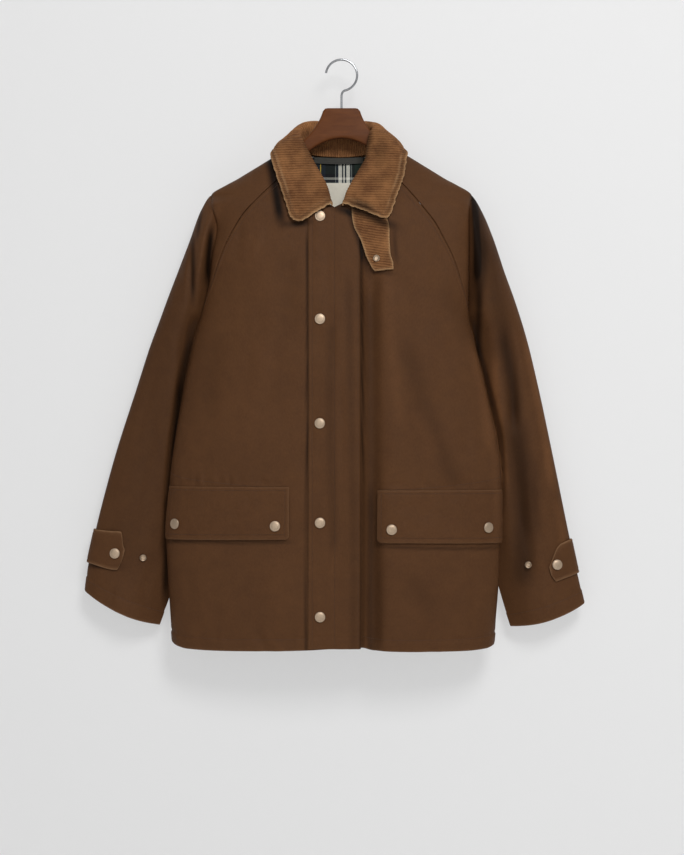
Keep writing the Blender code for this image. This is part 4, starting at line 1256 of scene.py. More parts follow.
@dataclass(frozen=True)
class Metal:
    """A plated metal with fine brushing and slight unevenness."""

    name: str
    base: Colour
    other: Colour
    roughness: float

    def material(self) -> bpy.types.Material:
        """Make the material."""
        desk = Desk(self.name)
        place = desk.position()
        cloud = desk.noise(place, 380.0, 4.0, 0.6)
        scratch = desk.noise(desk.stretched(place, 1.0, 1.0, 9.0), 900.0, 2.0)
        desk.set(Base_Color=desk.mix(cloud, self.base, self.other), Metallic=1.0,
                 Roughness=self.roughness + (scratch - 0.5) * 0.16, Normal=desk.bump(scratch, 0.12, 0.0001))
        return desk.material


@dataclass(frozen=True)
class StainedWood:
    """Satin dark brown hanger: faint grain under a satin coat."""

    name: str = "stained hanger"
    dark: Colour = paint(82, 43, 19)
    light: Colour = paint(110, 64, 31)

    def material(self) -> bpy.types.Material:
        """Make the material."""
        desk = Desk(self.name)
        place = desk.position()
        grain = desk.noise(desk.stretched(place, 0.35, 1.0, 2.4), 90.0, 5.0, 0.6)
        cloud = desk.noise(place, 26.0, 3.0)
        desk.set(Base_Color=desk.mix((grain * 1.3 + cloud * 0.6 - 0.45).held(), self.dark, self.light),
                 Roughness=0.5 + (grain - 0.5) * 0.1, Coat_Roughness=0.4, Coat_Weight=0.05 * cloud,
                 Specular_IOR_Level=0.12,
                 Normal=desk.bump(grain, 0.12, 0.0003))
        return desk.material


@dataclass(frozen=True)
class StudioPaper:
    """Pale backdrop that may glow with painted light, brighter towards +X and upwards; the wall is seen from
    its front only.
    """

    name: str
    base: Colour
    one_sided: bool = False
    glow: float = 0.0

    def material(self) -> bpy.types.Material:
        """Make the material."""
        desk = Desk(self.name)
        place = desk.position()
        # Painted light: the sheet glows, more towards +X and upwards, and the glow lightens the shadows cast
        # on it.
        across = (0.5 + 0.55 * desk.axis(place, "X") + 0.22 * (desk.axis(place, "Z") + 0.55)).held()
        glow = desk.mix(across, (0.86, 0.86, 0.86, 1.0), (1.0, 1.0, 1.0, 1.0))
        desk.set(Base_Color=self.base, Roughness=0.9, Specular_IOR_Level=0.1, Emission_Color=glow,
                 Emission_Strength=self.glow)
        if self.one_sided:
            clear = desk.node("ShaderNodeBsdfTransparent", {}, {})
            behind = desk.node("ShaderNodeNewGeometry", {}, {}, "Backfacing")
            face = Field(desk, desk.shader.outputs[0])
            both = desk.node("ShaderNodeMixShader", {}, {0: behind, 1: face, 2: clear})
            desk.tree.links.new(both.socket, desk.tree.nodes["Material Output"].inputs[0])
        return desk.material


# ---------------------------------------------------------------- the pieces


@dataclass
class Workshop:
    """What every piece shares: the two surfaces, the finishes and the stitching."""

    trunk: Trunk
    arms: dict[Side, Arm]
    waxed: bpy.types.Material
    corduroy: bpy.types.Material
    lining: bpy.types.Material
    label: bpy.types.Material
    band: bpy.types.Material
    snap: bpy.types.Material
    thread: bpy.types.Material
    seams: Stitching

    def sew(self, cut: Cut, node: str, slot: str, outside: bpy.types.Material,
            inside: bpy.types.Material | None = None) -> None:
        """Build a piece of cloth, dress it, and let it stand for its node.

        Args:
            cut: The piece.
            node: The node that it replaces.
            slot: Not used.
            outside: Material of the outer face.
            inside: Material of the inner face, or none for the same.
        """
        item = cut.build()
        item.data.materials.append(outside)
        item.data.materials.append(inside or outside)
        stand_for(item, node)
        size = cut.sizes()
        area = min(cut.area(), size[0] * size[1])
        log.info("%s: %d faces, cut %.3f x %.3f m", item.name, len(item.data.polygons), *size)

    def stitch(self, cut: Cut, rows: int | slice, columns: int | slice | np.ndarray) -> None:
        """Run stitches along part of a row or a column of a piece's outer face."""
        self.seams.run(cut.outer()[rows, columns], cut.normals()[rows, columns])


def lines_of(side: Side, row: np.ndarray, arm: Arm, trunk: Trunk, layer: Layer) -> np.ndarray:
    """Edge of a body panel at rows: the raglan seam down to the underarm, then the side seam.

    Args:
        side: Which edge.
        row: Rows of the panel.
        arm: That side's sleeve.
        trunk: The trunk.
        layer: Front or back panel.

    Returns:
        Pairs of x and z, one for each row.
    """
    sign = side.value
    names = ("seam_x", "seam_z") if layer is Layer.FRONT else ("back_x", "back_z")
    upper = np.minimum(row, ARM_ROWS - 1)
    x, z = arm.table(names[0], upper), arm.table(names[1], upper)
    t = np.clip(row - (ARM_ROWS - 1), 0, 1)
    tip_x = trunk.table(side.word, UNDERARM_Z)
    x, z = x * (1 - t) + tip_x * t, z * (1 - t) + UNDERARM_Z * t
    hem = HEM_TABLE("z", sign * 270.0)
    low_z = UNDERARM_Z + (hem - UNDERARM_Z) * np.clip(row - ARM_ROWS, 0, None) / LOW_ROWS
    below = row > ARM_ROWS
    x = np.where(below, trunk.table(side.word, low_z), x)
    return np.stack([sign * x, np.where(below, low_z, z)], -1)


HEM_TABLE = Table(HEM)


class Flap(NamedTuple):
    """A pocket flap: inner edge, drop of its top, reach as a share of the half width, place of its
    outer snap across it, and height of the pocket's stitched line."""

    inner: float
    drop: float
    reach: float
    outer_snap: float
    line_z: float


FLAPS = {Side.LEFT: Flap(82.0, 0.0, 0.992, 0.745, -672.0), Side.RIGHT: Flap(57.0, -5.0, 0.994, 0.69, -677.0)}
FLAP_TOP = -680.0


def blended(top: np.ndarray, bottom: np.ndarray, near: np.ndarray, far: np.ndarray, s: np.ndarray,
            r: np.ndarray) -> np.ndarray:
    """Grid of places between four edge curves, where s may differ from row to row.

    Args:
        top: Curve at r = 0 for each grid point, rows by columns by 2.
        bottom: Curve at r = 1, in the same way.
        near: Curve at s = 0, rows by 2.
        far: Curve at s = 1, rows by 2.
        s: Shares across, rows by columns.
        r: Shares down, one for each row.

    Returns:
        Places, rows by columns by 2.
    """
    s, r = s[..., None], r[:, None, None]
    near, far = near[:, None], far[:, None]
    corners = ((1 - s) * (1 - r) * near[0] + s * (1 - r) * far[0] + (1 - s) * r * near[-1] + s * r * far[-1])
    return (1 - r) * top + r * bottom + (1 - s) * near + s * far - corners


@dataclass
class BodyPanels:
    """The two fronts and the back."""

    shop: Workshop
    rows: int = 250
    front_columns: int = 92
    back_columns: int = 130
    hem_depth: float = 19.0

    def hem_relief(self, grid: np.ndarray, seed: int) -> np.ndarray:
        """Relief of the turned-up hem, its stitch line and its puckers."""
        low = border_distance(grid, "b")
        x = grid[..., 0]
        wander = Wander(seed)
        pull = wander(x / 7, np.zeros_like(x) + 3) + 0.6 * wander(x / 3.1, np.zeros_like(x) + 7)
        return turned_up(low, self.hem_depth, 0.9, (1.4, 1.4), 0.55 * pull, 9)

    def seam_relief(self, distance: np.ndarray, wide: float = 5.0) -> np.ndarray:
        """Relief beside a felled seam: a dip at the join and a raised run with a stitched line."""
        run = 0.45 * np.exp(-((distance - wide * 0.6) / (wide * 0.45)) ** 2)
        return edge_roll(distance, *SEAM_DIP) + run + groove(distance, wide + 1.0, 1.1, 0.35)

    def laid(self, neck: Table, near: np.ndarray, far: np.ndarray, s: np.ndarray, row: np.ndarray,
             layer: Layer) -> np.ndarray:
        """Grid of a panel between its neckline, its side edges and the hem.

        Args:
            neck: The neckline.
            near: Edge at s = 0, rows by 2.
            far: Edge at s = 1, rows by 2.
            s: Shares across, rows by columns.
            row: The rows.
            layer: Front or back.

        Returns:
            Points, rows by columns by 3.
        """
        low_x = near[-1, 0] + (far[-1, 0] - near[-1, 0]) * s
        top, bottom = np.stack([neck("x", s), neck("z", s)], -1), np.stack([low_x, HEM_TABLE("z", low_x)], -1)
        x, z = np.moveaxis(blended(top, bottom, near, far, s, row / row[-1]), -1, 0)
        return np.stack([x, self.shop.trunk.depth(x, z, layer), z], -1)

    def seam_rows(self) -> slice:
        """Rows along the raglan seam."""
        return slice(3, int(self.rows * ARM_ROWS / (ARM_ROWS + LOW_ROWS)) - 4)

    def front(self, side: Side) -> None:
        """Make one front."""
        trunk, sign = self.shop.trunk, side.value
        row = np.linspace(0, ARM_ROWS + LOW_ROWS, self.rows)
        even = np.linspace(0, 1, self.front_columns)
        crowd = smooth(row / ARM_ROWS)[:, None]
        s = (1 - crowd) * even + crowd * np.sin(math.pi / 2 * even)
        far = lines_of(side, row, self.shop.arms[side], trunk, Layer.FRONT)
        knots = [0, ARM_ROWS, ARM_ROWS + LOW_ROWS]
        heights = [NECK_FRONT_Z, UNDERARM_FRONT_Z, float(HEM_TABLE("z", CENTRE_FRONT))]
        near = np.stack([np.full(row.shape, CENTRE_FRONT), np.interp(row, knots, heights)], -1)
        grid = self.laid(Table(NECK_FRONT[side]), near, far, s, row, Layer.FRONT)
        x, z = grid[..., 0].copy(), grid[..., 2].copy()
        below = row > ARM_ROWS
        grid[below, -1] = trunk.side_line(far[below], Layer.FRONT)
        grid = nudge(grid, SEAM_EDGE, 1.6 * SEAM_EDGE, SEAM_EDGE, 0)
        relief = self.hem_relief(grid, 40 + sign) + self.seam_relief(border_distance(grid, "r"))
        beside = (x - PLACKET_RIGHT) if side is Side.RIGHT else (PLACKET_LEFT - x)
        relief *= smooth((beside + 4) / 6) if side is Side.RIGHT else smooth((beside + 8) / 6)
        relief = relief + groove(np.abs(beside), 2.2, 1.2, 0.4)
        line_z, inner = FLAPS[side].line_z, FLAPS[side].inner
        on_pocket = smooth((np.abs(x) - inner) / 6)
        pucker = Wander(120 + sign)(x / 5.5, z * 0 + 5)
        puckered = 0.9 * pucker * np.exp(-((z - line_z - 3) / 7) ** 2)
        relief = relief + on_pocket * (groove(z, line_z, 1.4, 0.9) + puckered)
        wear = worn(border_distance(grid, "b"), 0.25, 1.4)
        # Painted shade in the folds, creases and shadows of the front, and painted light on its ridges.
        creases = trunk.creases(x, z, Layer.FRONT) * (1 - smooth((x - 20) / 10))
        lay = layered(grid, PAINTED_SHADE_ON_FRONTS) + 0.05 * creases
        cut = Cut(f"front_{side.word}_cloth", grid, CLOTH_WALL, FORWARD, relief=relief, wear=wear, lay=lay)
        self.shop.sew(cut, f"front_{side.word}", "waxed_cotton", self.shop.waxed, self.shop.lining)
        index = nearest(border_distance(grid, "b")[:, self.front_columns // 2], self.hem_depth)
        self.shop.stitch(cut, index, np.where(beside[index] > 1.0)[0])
        index = nearest(z[:, self.front_columns // 2], line_z)
        self.shop.stitch(cut, index, np.where(np.abs(x[index]) > inner + 2)[0][:-3])
        self.shop.stitch(cut, self.seam_rows(), -6)

    def back(self) -> None:
        """Make the back, from side seam to side seam."""
        trunk = self.shop.trunk
        row = np.linspace(0, ARM_ROWS + LOW_ROWS, self.rows)
        even = np.linspace(0, 1, self.back_columns)
        crowd = smooth(row / ARM_ROWS)[:, None]
        s = (1 - crowd) * even + crowd * (1 - np.cos(math.pi * even)) / 2
        near, far = (lines_of(side, row, self.shop.arms[side], trunk, Layer.BACK) for side in Side)
        grid = self.laid(Table(NECK_BACK), near, far, s, row, Layer.BACK)
        x, z = grid[..., 0].copy(), grid[..., 2].copy()
        below = row > ARM_ROWS
        grid[below, 0] = trunk.side_line(near[below], Layer.BACK)
        grid[below, -1] = trunk.side_line(far[below], Layer.BACK)
        grid = nudge(grid, 2.4 * SEAM_EDGE, 2.4 * SEAM_EDGE, SEAM_EDGE, 0)
        felled = 3.2 * SEAM_EDGE * smooth(row - ARM_ROWS)[:, None]
        for edge, inner in ((0, 1), (-1, -2)):
            grid[:, edge] -= unit(grid[:, inner] - grid[:, edge]) * felled
        relief = self.hem_relief(grid, 47) + self.seam_relief(border_distance(grid, "lr"))
        wear = worn(border_distance(grid, "b"), 0.25, 1.4)
        # Painted shade in the back's creases and painted light on its ridges.
        cut = Cut("back_cloth", grid, CLOTH_WALL, np.array([0.0, 1.0, 0.0]), relief=relief, wear=wear,
                  lay=PAINTED_SHADE_ON_BACK * trunk.creases(x, z, Layer.BACK))
        self.shop.sew(cut, "back_panel", "waxed_cotton", self.shop.waxed, self.shop.lining)
        index = nearest(border_distance(grid, "b")[:, self.back_columns // 2], self.hem_depth)
        self.shop.stitch(cut, index, slice(3, -3))
        for column in (5, -6):
            self.shop.stitch(cut, self.seam_rows(), column)

    def build(self) -> None:
        """Make all three."""
        self.front(Side.LEFT)
        self.front(Side.RIGHT)
        self.back()


@dataclass
class Sleeves:
    """The two raglan sleeves, each a tube below the underarm."""

    shop: Workshop
    rows: int = 271
    front_columns: int = 62
    back_columns: int = 46
    cuff_depth: float = 24.0

    def build(self) -> None:
        """Make both."""
        for side in Side:
            self.sleeve(side)

    def sleeve(self, side: Side) -> None:
        """Make one sleeve."""
        arm = self.shop.arms[side]
        place = np.linspace(0, SLEEVE_ROWS, self.rows)
        before = np.linspace(0, 1, self.front_columns)
        before = -(1 - (0.55 * before + 0.45 * np.sin(math.pi / 2 * before)))
        behind = np.linspace(0, 1, self.back_columns)[1:]
        behind = 1 - (0.55 * (1 - behind) + 0.45 * np.cos(math.pi / 2 * behind))
        around = np.concatenate([before, behind])
        grid = arm.points(place[:, None], around[None, :])
        weld = int(np.argmin(np.abs(place - ARM_ROWS)))
        upper = nudge(grid, SEAM_EDGE, SEAM_EDGE, SEAM_EDGE, 0)
        share = smooth((weld - np.arange(self.rows)) / 4)[:, None, None]
        grid = grid + (upper - grid) * share
        grid[weld:, -1] = grid[weld:, 0]
        low = border_distance(grid, "b")
        wander = Wander(60 + side.value)
        run = run_along(grid, 1)
        pull = wander(run / 6.5, run * 0 + 2)
        relief = turned_up(low, self.cuff_depth, 0.7, (1.3, 0.7), 0.35 * pull, 8)
        seam = border_distance(grid, "lr")
        upper_part = smooth((weld - np.arange(self.rows)) / 12)[:, None]
        relief = relief + edge_roll(seam, *SEAM_DIP) * upper_part
        wear = worn(low, 0.5, 1.4)
        ring_middle = (grid[:, :1] + grid[:, self.front_columns - 1:self.front_columns]) / 2
        outward = (grid - ring_middle) * np.array([1.0, 1.0, 0.2])
        outward[:weld // 2] = np.where(around[:, None] <= 0, -1.0, 1.0) * np.array([0.0, 1.0, 0.0])
        # Painted shade and light on the sleeve's front from its table, and on its back from the back's
        # creases.
        hidden = smooth(around * 8)
        broad = troughs(grid[..., 0], grid[..., 2], BACK_FOLDS, BROAD_LEAD, BROAD_LEAD, FOLD_SWAY)
        lay = layered(grid, PAINTED_SHADE_ON_SLEEVES) * (1 - hidden) + PAINTED_SHADE_ON_BACK * broad * hidden
        cut = Cut(f"sleeve_{side.word}_cloth", grid, CLOTH_WALL, outward, weld_from=weld, relief=relief,
                  wear=wear, lay=lay)
        self.shop.sew(cut, f"sleeve_{side.word}", "waxed_cotton", self.shop.waxed, self.shop.lining)
        self.shop.stitch(cut, nearest(low[:, self.front_columns // 2], self.cuff_depth), slice(2, -2))


@dataclass
class Collar:
    """Stand and both leaves of the collar, in one folded sheet of corduroy."""

    shop: Workshop
    along: int = 330
    across: int = 92
    pitch: float = 4.0
    wale_height: float = 0.42
    stitch_in: float = 9.0
    turn_z: float = -125.0

    def section(self, table: Table, place: np.ndarray) -> np.ndarray:
        """Points of the collar's sections, from the neck seam over the roll to the outer edge."""
        read = lambda name: np.stack([table(f"{name}_{axis}", place) for axis in "xyz"], -1)
        seam, roll, edge = read("seam"), read("roll"), read("edge")
        turn, puff = table("turn", place)[:, None], table("puff", place)[:, None]
        inward, outward = unit(seam - roll), unit(edge - roll)
        middle, over = unit(inward + outward), unit(outward - inward)
        start = seam + unit(roll - seam) * 1.5
        top = roll + middle * turn * 0.6
        inner, outer = top - over * turn, top + over * turn
        knots = [start, start + (inner - start) * 0.6, inner, roll, outer,
                 outer + (edge - outer) * 0.3 + over * puff * 0.8,
                 outer + (edge - outer) * 0.65 + over * puff, edge]
        return np.stack(knots, 1)

    def build(self) -> None:
        """Make the collar."""
        lines = [f"{name}_{axis}" for name in ("seam", "roll", "edge") for axis in "xyz"]
        fields = ["place"] + lines + ["turn", "puff"]
        row_type = NamedTuple("CollarLine", [(name, float) for name in fields])
        table = Table([row_type(float(index), *row.seam, *row.roll, *row.edge, row.turn, row.puff)
                       for index, row in enumerate(COLLAR)])
        fine = np.linspace(0, len(COLLAR) - 1, 1200)
        rolls = np.stack([table(f"roll_{axis}", fine) * 0.5 + table(f"edge_{axis}", fine) * 0.5
                          for axis in "xyz"], -1)
        far = run_along(rolls)
        place = np.interp(np.linspace(0, far[-1], self.along), far, fine)
        length = np.interp(place, fine, far)
        knots = self.section(table, place)
        steps = np.linalg.norm(np.diff(knots, axis=1), axis=-1).mean(axis=0)
        reach = np.concatenate([[0.0], np.cumsum(steps)])
        at = np.linspace(0, reach[-1], self.across)
        grid = np.empty((self.along, self.across, 3))
        for axis in range(3):
            rise = np.diff(knots[..., axis], axis=1) / np.diff(reach)
            slope = np.empty(knots.shape[:2])
            slope[:, 0], slope[:, -1] = rise[:, 0], rise[:, -1]
            slope[:, 1:-1] = (rise[:, :-1] * np.diff(reach)[1:] + rise[:, 1:] * np.diff(reach)[:-1]) / (
                np.diff(reach)[1:] + np.diff(reach)[:-1])
            low = np.clip(np.searchsorted(reach, at, side="right") - 1, 0, len(reach) - 2)
            span = np.diff(reach)[low]
            t = (at - reach[low]) / span
            grid[..., axis] = hermite(knots[:, low, axis], knots[:, low + 1, axis], slope[:, low],
                                      slope[:, low + 1], span, t)
        grid = rounded(grid, 10.0, ("tr", "br"))
        scallop = Wander(73)
        for line, inner, share in ((grid[:, -1], grid[:, -4], length), (grid[0], grid[3], at),
                                   (grid[-1], grid[-4], at)):
            line += unit(line - inner) * scallop(share / 3.2, share * 0)[:, None] * 0.8
        x, y, z = grid[..., 0], grid[..., 1], grid[..., 2]
        leaf = smooth((-2 - y) / 16)
        along_back = np.broadcast_to(length[:, None], x.shape)
        left = z - self.turn_z + np.interp(4.4, fine, far)
        right = self.turn_z - z + np.interp(14.6, fine, far)
        wale = along_back * (1 - leaf) + np.where(x < 0, left, right) * leaf
        border = np.minimum(border_distance(grid, "tb"), border_distance(grid, "r"))
        stitched = groove(border, self.stitch_in, 1.5, 0.55)
        ridge = self.wale_height * (np.sin(math.tau * wale / self.pitch) - 1) * smooth((border - 1.5) / 2)
        wander = Wander(71)
        rough = 0.5 * wander(wale / 26, border / 24)
        relief = ridge + stitched + rough + edge_roll(border, 2.6, 1.0)
        wear = np.exp(-border / 2.0) + 0.4 * np.exp(-((border - 10) / 2.2) ** 2) * smooth(0.5 + rough)
        hint = np.where(np.arange(self.across)[None, :, None] > self.across * 0.6, 1.0, 0.0)
        outward = hint * (grid - np.array([0.0, 5.0, -170.0]))
        # Painted shade in the collar's folds and in a band just inside its edge, and painted light on the
        # stand.
        cut = Cut("collar_cloth", grid, CORDUROY_WALL, outward, relief=relief, wear=wear, slope=wale,
                  lay=layered(grid, COLLAR_SHADES) * smooth((14 - y) / 10) - 0.35 * (1 - leaf)
                  + 0.3 * np.exp(-((border - 5.5) / 2.2) ** 2))
        self.shop.sew(cut, "collar", "corduroy", self.shop.corduroy)
        column = nearest(border_distance(grid, "r")[self.along // 2], self.stitch_in)
        ends = int(self.stitch_in / (far[-1] / self.along))
        self.shop.stitch(cut, slice(ends, -ends), column)
        for row in (ends, self.along - 1 - ends):
            self.shop.stitch(cut, row, slice(self.across // 2, column))


PLACKET_LEFT, PLACKET_RIGHT = -52.0, 29.0


@dataclass
class Overlays:
    """What lies on the fronts: placket, pocket flaps and throat tab."""

    shop: Workshop
    top: float = -241.0
    bottom: float = -933.0
    flap_depth: float = 82.0

    def placket(self) -> None:
        """Make the storm placket."""
        z = np.linspace(self.top, self.bottom, 300)[:, None]
        x = np.linspace(PLACKET_LEFT, PLACKET_RIGHT, 52)[None, :]
        grid = self.shop.trunk.lifted(x, z, ON_FRONT + 0.25)
        free, seam = border_distance(grid, "l"), border_distance(grid, "r")
        low, wander = border_distance(grid, "b"), Wander(81)
        relief = (edge_roll(np.minimum(free, low), 2.0, 0.8) + groove(free, 7.0, 1.2, 0.4)
                  + groove(free, 41.0, 1.3, 0.5) + groove(seam, 3.0, 1.1, 0.5) + edge_roll(seam, 1.6, 1.6)
                  + groove(low, 19.0, 1.2, 0.4) + 0.18 * wander(free / 9, z / 12 + free * 0)
                  + 0.35 * wander(free / 22 + 9, z / 46 + free * 0))
        wear = worn(np.minimum(free, low), 0.12, 1.2)
        # Painted shade and light on the placket, from the fronts' table.
        cut = Cut("storm_placket_cloth", grid, DOUBLED_WALL, FORWARD, relief=relief, wear=wear,
                  lay=layered(grid, PAINTED_SHADE_ON_FRONTS))
        self.shop.sew(cut, "storm_placket", "waxed_cotton", self.shop.waxed)
        for distance in (7.0, 41.0, PLACKET_RIGHT - PLACKET_LEFT - 3.0):
            self.shop.stitch(cut, slice(4, -3), nearest(free[150], distance))

    def flap(self, side: Side) -> None:
        """Make one pocket flap."""
        trunk, inner, top_z = self.shop.trunk, FLAPS[side].inner, FLAP_TOP + FLAPS[side].drop
        z = top_z - np.linspace(0, self.flap_depth, 62)[:, None]
        end = trunk.table(side.word, z) * FLAPS[side].reach
        x = side.value * (inner + (end - inner) * np.sin(math.pi / 2 * np.linspace(0, 1, 150)[None, :]))
        down = (top_z - z) / self.flap_depth
        bow = 1.6 * (np.abs(x) - inner) / 180 * down
        lift = ON_FRONT + 0.55 + 2.0 * down
        grid = trunk.lifted(x, z - bow, lift, False)
        grid = rounded(grid, 7.0, ("bl", "br"))
        border, wander = border_distance(grid, "lrb"), Wander(90 + side.value)
        top, everywhere = border_distance(grid, "t"), border_distance(grid)
        relief = (edge_roll(everywhere, 1.8, 0.8) + groove(border, 6.5, 1.2, 0.45)
                  + groove(top, 6.0, 1.2, 0.4) + 0.3 * wander(x / 16, z / 12)
                  + 0.14 * wander(x / 5 + 7, z / 6))
        relief = relief + 0.4 * wander(x / 6.0, z * 0 + 4) * np.exp(-(top / 9) ** 2)
        wear = worn(everywhere, 0.3, 1.3)
        # Painted shade and light on the flap, at 0.7 of the fronts' table.
        cut = Cut(f"pocket_flap_{side.word}_cloth", grid, DOUBLED_WALL, FORWARD, relief=relief,
                  wear=wear, lay=0.7 * layered(grid, PAINTED_SHADE_ON_FRONTS))
        self.shop.sew(cut, f"pocket_flap_{side.word}", "waxed_cotton", self.shop.waxed)
        for distance in (self.flap_depth - 6.5, 6.0):
            self.shop.stitch(cut, nearest(top[:, 70], distance), slice(3, -3))
        self.shop.stitch(cut, slice(3, -3), nearest(border_distance(grid, "l")[30], 6.5))

    def throat_tab(self) -> None:
        """Make the corduroy tab that hangs from under the right leaf."""
        table = Table(THROAT_TAB)
        share = np.linspace(0, 1, 100)[:, None]
        t = np.linspace(0, 1, 56)[None, :]
        x = table("left_x", share) * (1 - t) + table("right_x", share) * t
        z = table("left_z", share) * (1 - t) + table("right_z", share) * t
        lift = CLOTH_WALL / 2 + SEAM_GAP + DOUBLED_WALL + 2 * SEAM_GAP + CORDUROY_WALL / 2 + 0.2
        grid = self.shop.trunk.lifted(x, z, lift, False)
        border = border_distance(grid, "lrb")
        slope = z + 0.16 * x
        relief = (0.4 * (np.sin(math.tau * slope / 4.0) - 1) * smooth((border - 1.5) / 2)
                  + edge_roll(border, 2.4, 0.9) + groove(border, 6.0, 1.3, 0.5))
        # Painted shadow of the right leaf on the tab.
        cut = Cut("throat_tab_cloth", grid, CORDUROY_WALL, FORWARD, relief=relief,
                  wear=worn(border, 1, 1.6), slope=slope, lay=layered(grid, TAB_SHADES))
        self.shop.sew(cut, "throat_tab", "corduroy", self.shop.corduroy)

    def build(self) -> None:
        """Make them all."""
        self.placket()
        for side in Side:
            self.flap(side)
        self.throat_tab()


class TabRow(NamedTuple):
    """One line of a cuff tab: its places along the sleeve at a place around it."""

    around: float
    upper: float
    lower: float


CUFF_TABS = {
    Side.LEFT: rows_of(
        TabRow,
        (0.08, 13.0, 13.75), (0.0, 13.0, 13.75), (-0.07, 12.98, 13.73), (-0.194, 12.94, 13.71),
        (-0.29, 12.91, 13.68), (-0.352, 13.13, 13.64), (-0.38, 13.2, 13.4),
    ),
    Side.RIGHT: rows_of(
        TabRow,
        (0.08, 13.1, 13.79), (0.0, 13.1, 13.79), (-0.13, 13.12, 13.8), (-0.194, 13.17, 13.8),
        (-0.25, 13.27, 13.81), (-0.3, 13.38, 13.81), (-0.345, 13.47, 13.63),
    ),
}
CUFF_SNAPS = {Side.LEFT: (13.32, -0.285), Side.RIGHT: (13.467, -0.245)}
CUFF_STUDS = {Side.LEFT: (13.24, -0.594), Side.RIGHT: (13.323, -0.587)}


@dataclass
class CuffTabs:
    """The cuff tabs."""

    shop: Workshop

    def build(self) -> None:
        """Make both."""
        for side in Side:
            table = Table(CUFF_TABS[side])
            around = np.linspace(0.08, CUFF_TABS[side][-1].around, 76)[:, None]
            t = np.linspace(0, 1, 44)[None, :]
            place = table("upper", around) * (1 - t) + table("lower", around) * t
            lift = ON_FRONT + 1.6
            grid = self.shop.arms[side].lifted(place, around, lift)
            border = border_distance(grid, "blr")
            relief = edge_roll(border, 1.8, 0.8) + groove(border, 5.0, 1.2, 0.45)
            outward = self.shop.arms[side].facing(place, around)
            cut = Cut(f"cuff_tab_{side.word}_cloth", grid, DOUBLED_WALL, outward, relief=relief,
                      wear=worn(border, 1.15, 1.7))
            self.shop.sew(cut, f"cuff_tab_{side.word}", "waxed_cotton", self.shop.waxed)


@dataclass
class NeckInside:
    """What shows inside the back neck: checked lining, bare label and hanging loop."""

    shop: Workshop
    lining_top: float = -162.0
    lining_drop: float = 96.0

    def build(self) -> None:
        """Make all three."""
        trunk = self.shop.trunk
        lift = CLOTH_WALL / 2 + SEAM_GAP + 1.5
        z = (self.lining_top - np.linspace(0, self.lining_drop, 60))[:, None]
        x = np.linspace(-72, 66, 90)[None, :]
        grid = np.stack(np.broadcast_arrays(x, trunk.depth(x, z, Layer.BACK, creased=False) - lift, z), -1)
        uneven = 0.2 * Wander(95)(grid[..., 0] / 14, grid[..., 2] / 12)
        cut = Cut("neck_lining_cloth", grid, 1.0, FORWARD, relief=uneven)
        self.shop.sew(cut, "neck_lining", "lining", self.shop.lining)
        z = (-192 - np.linspace(0, 46, 30))[:, None]
        x = np.linspace(-28, 24, 34)[None, :]
        depth = trunk.depth(x, z, Layer.BACK, creased=False) - lift - 0.5 - SEAM_GAP - 0.5
        grid = np.stack(np.broadcast_arrays(x, depth, z), -1)
        border = border_distance(grid)
        relief = edge_roll(border, 1.0, 0.3) + groove(border, 3, 0.6, 0.15)
        cut = Cut("neck_label_cloth", grid, 0.8, FORWARD, relief=relief)
        self.shop.sew(cut, "neck_label", "label", self.shop.label)
        t = np.linspace(0, 1, 70)[None, :]
        band = np.linspace(0, 1, 12)[:, None]
        bow = 2.5 * np.sin(math.pi * t)
        x = -44 + 79 * t + band * 0
        wall = trunk.depth(x, np.full_like(x, -155.0), Layer.BACK, creased=False)
        depth = wall - CLOTH_WALL / 2 - SEAM_GAP - 2.0 - bow
        grid = np.stack(np.broadcast_arrays(x, depth, -150.5 - 10 * band - bow * 0.6), -1)
        cut = Cut("hanging_loop_cloth", grid, 1.2, FORWARD, relief=0.12 * np.cos(math.tau * 3 * band) + 0 * t)
        self.shop.sew(cut, "hanging_loop", "loop_band", self.shop.band)


class Turn(NamedTuple):
    """One step of a turned form: radius and height."""

    radius: float
    height: float


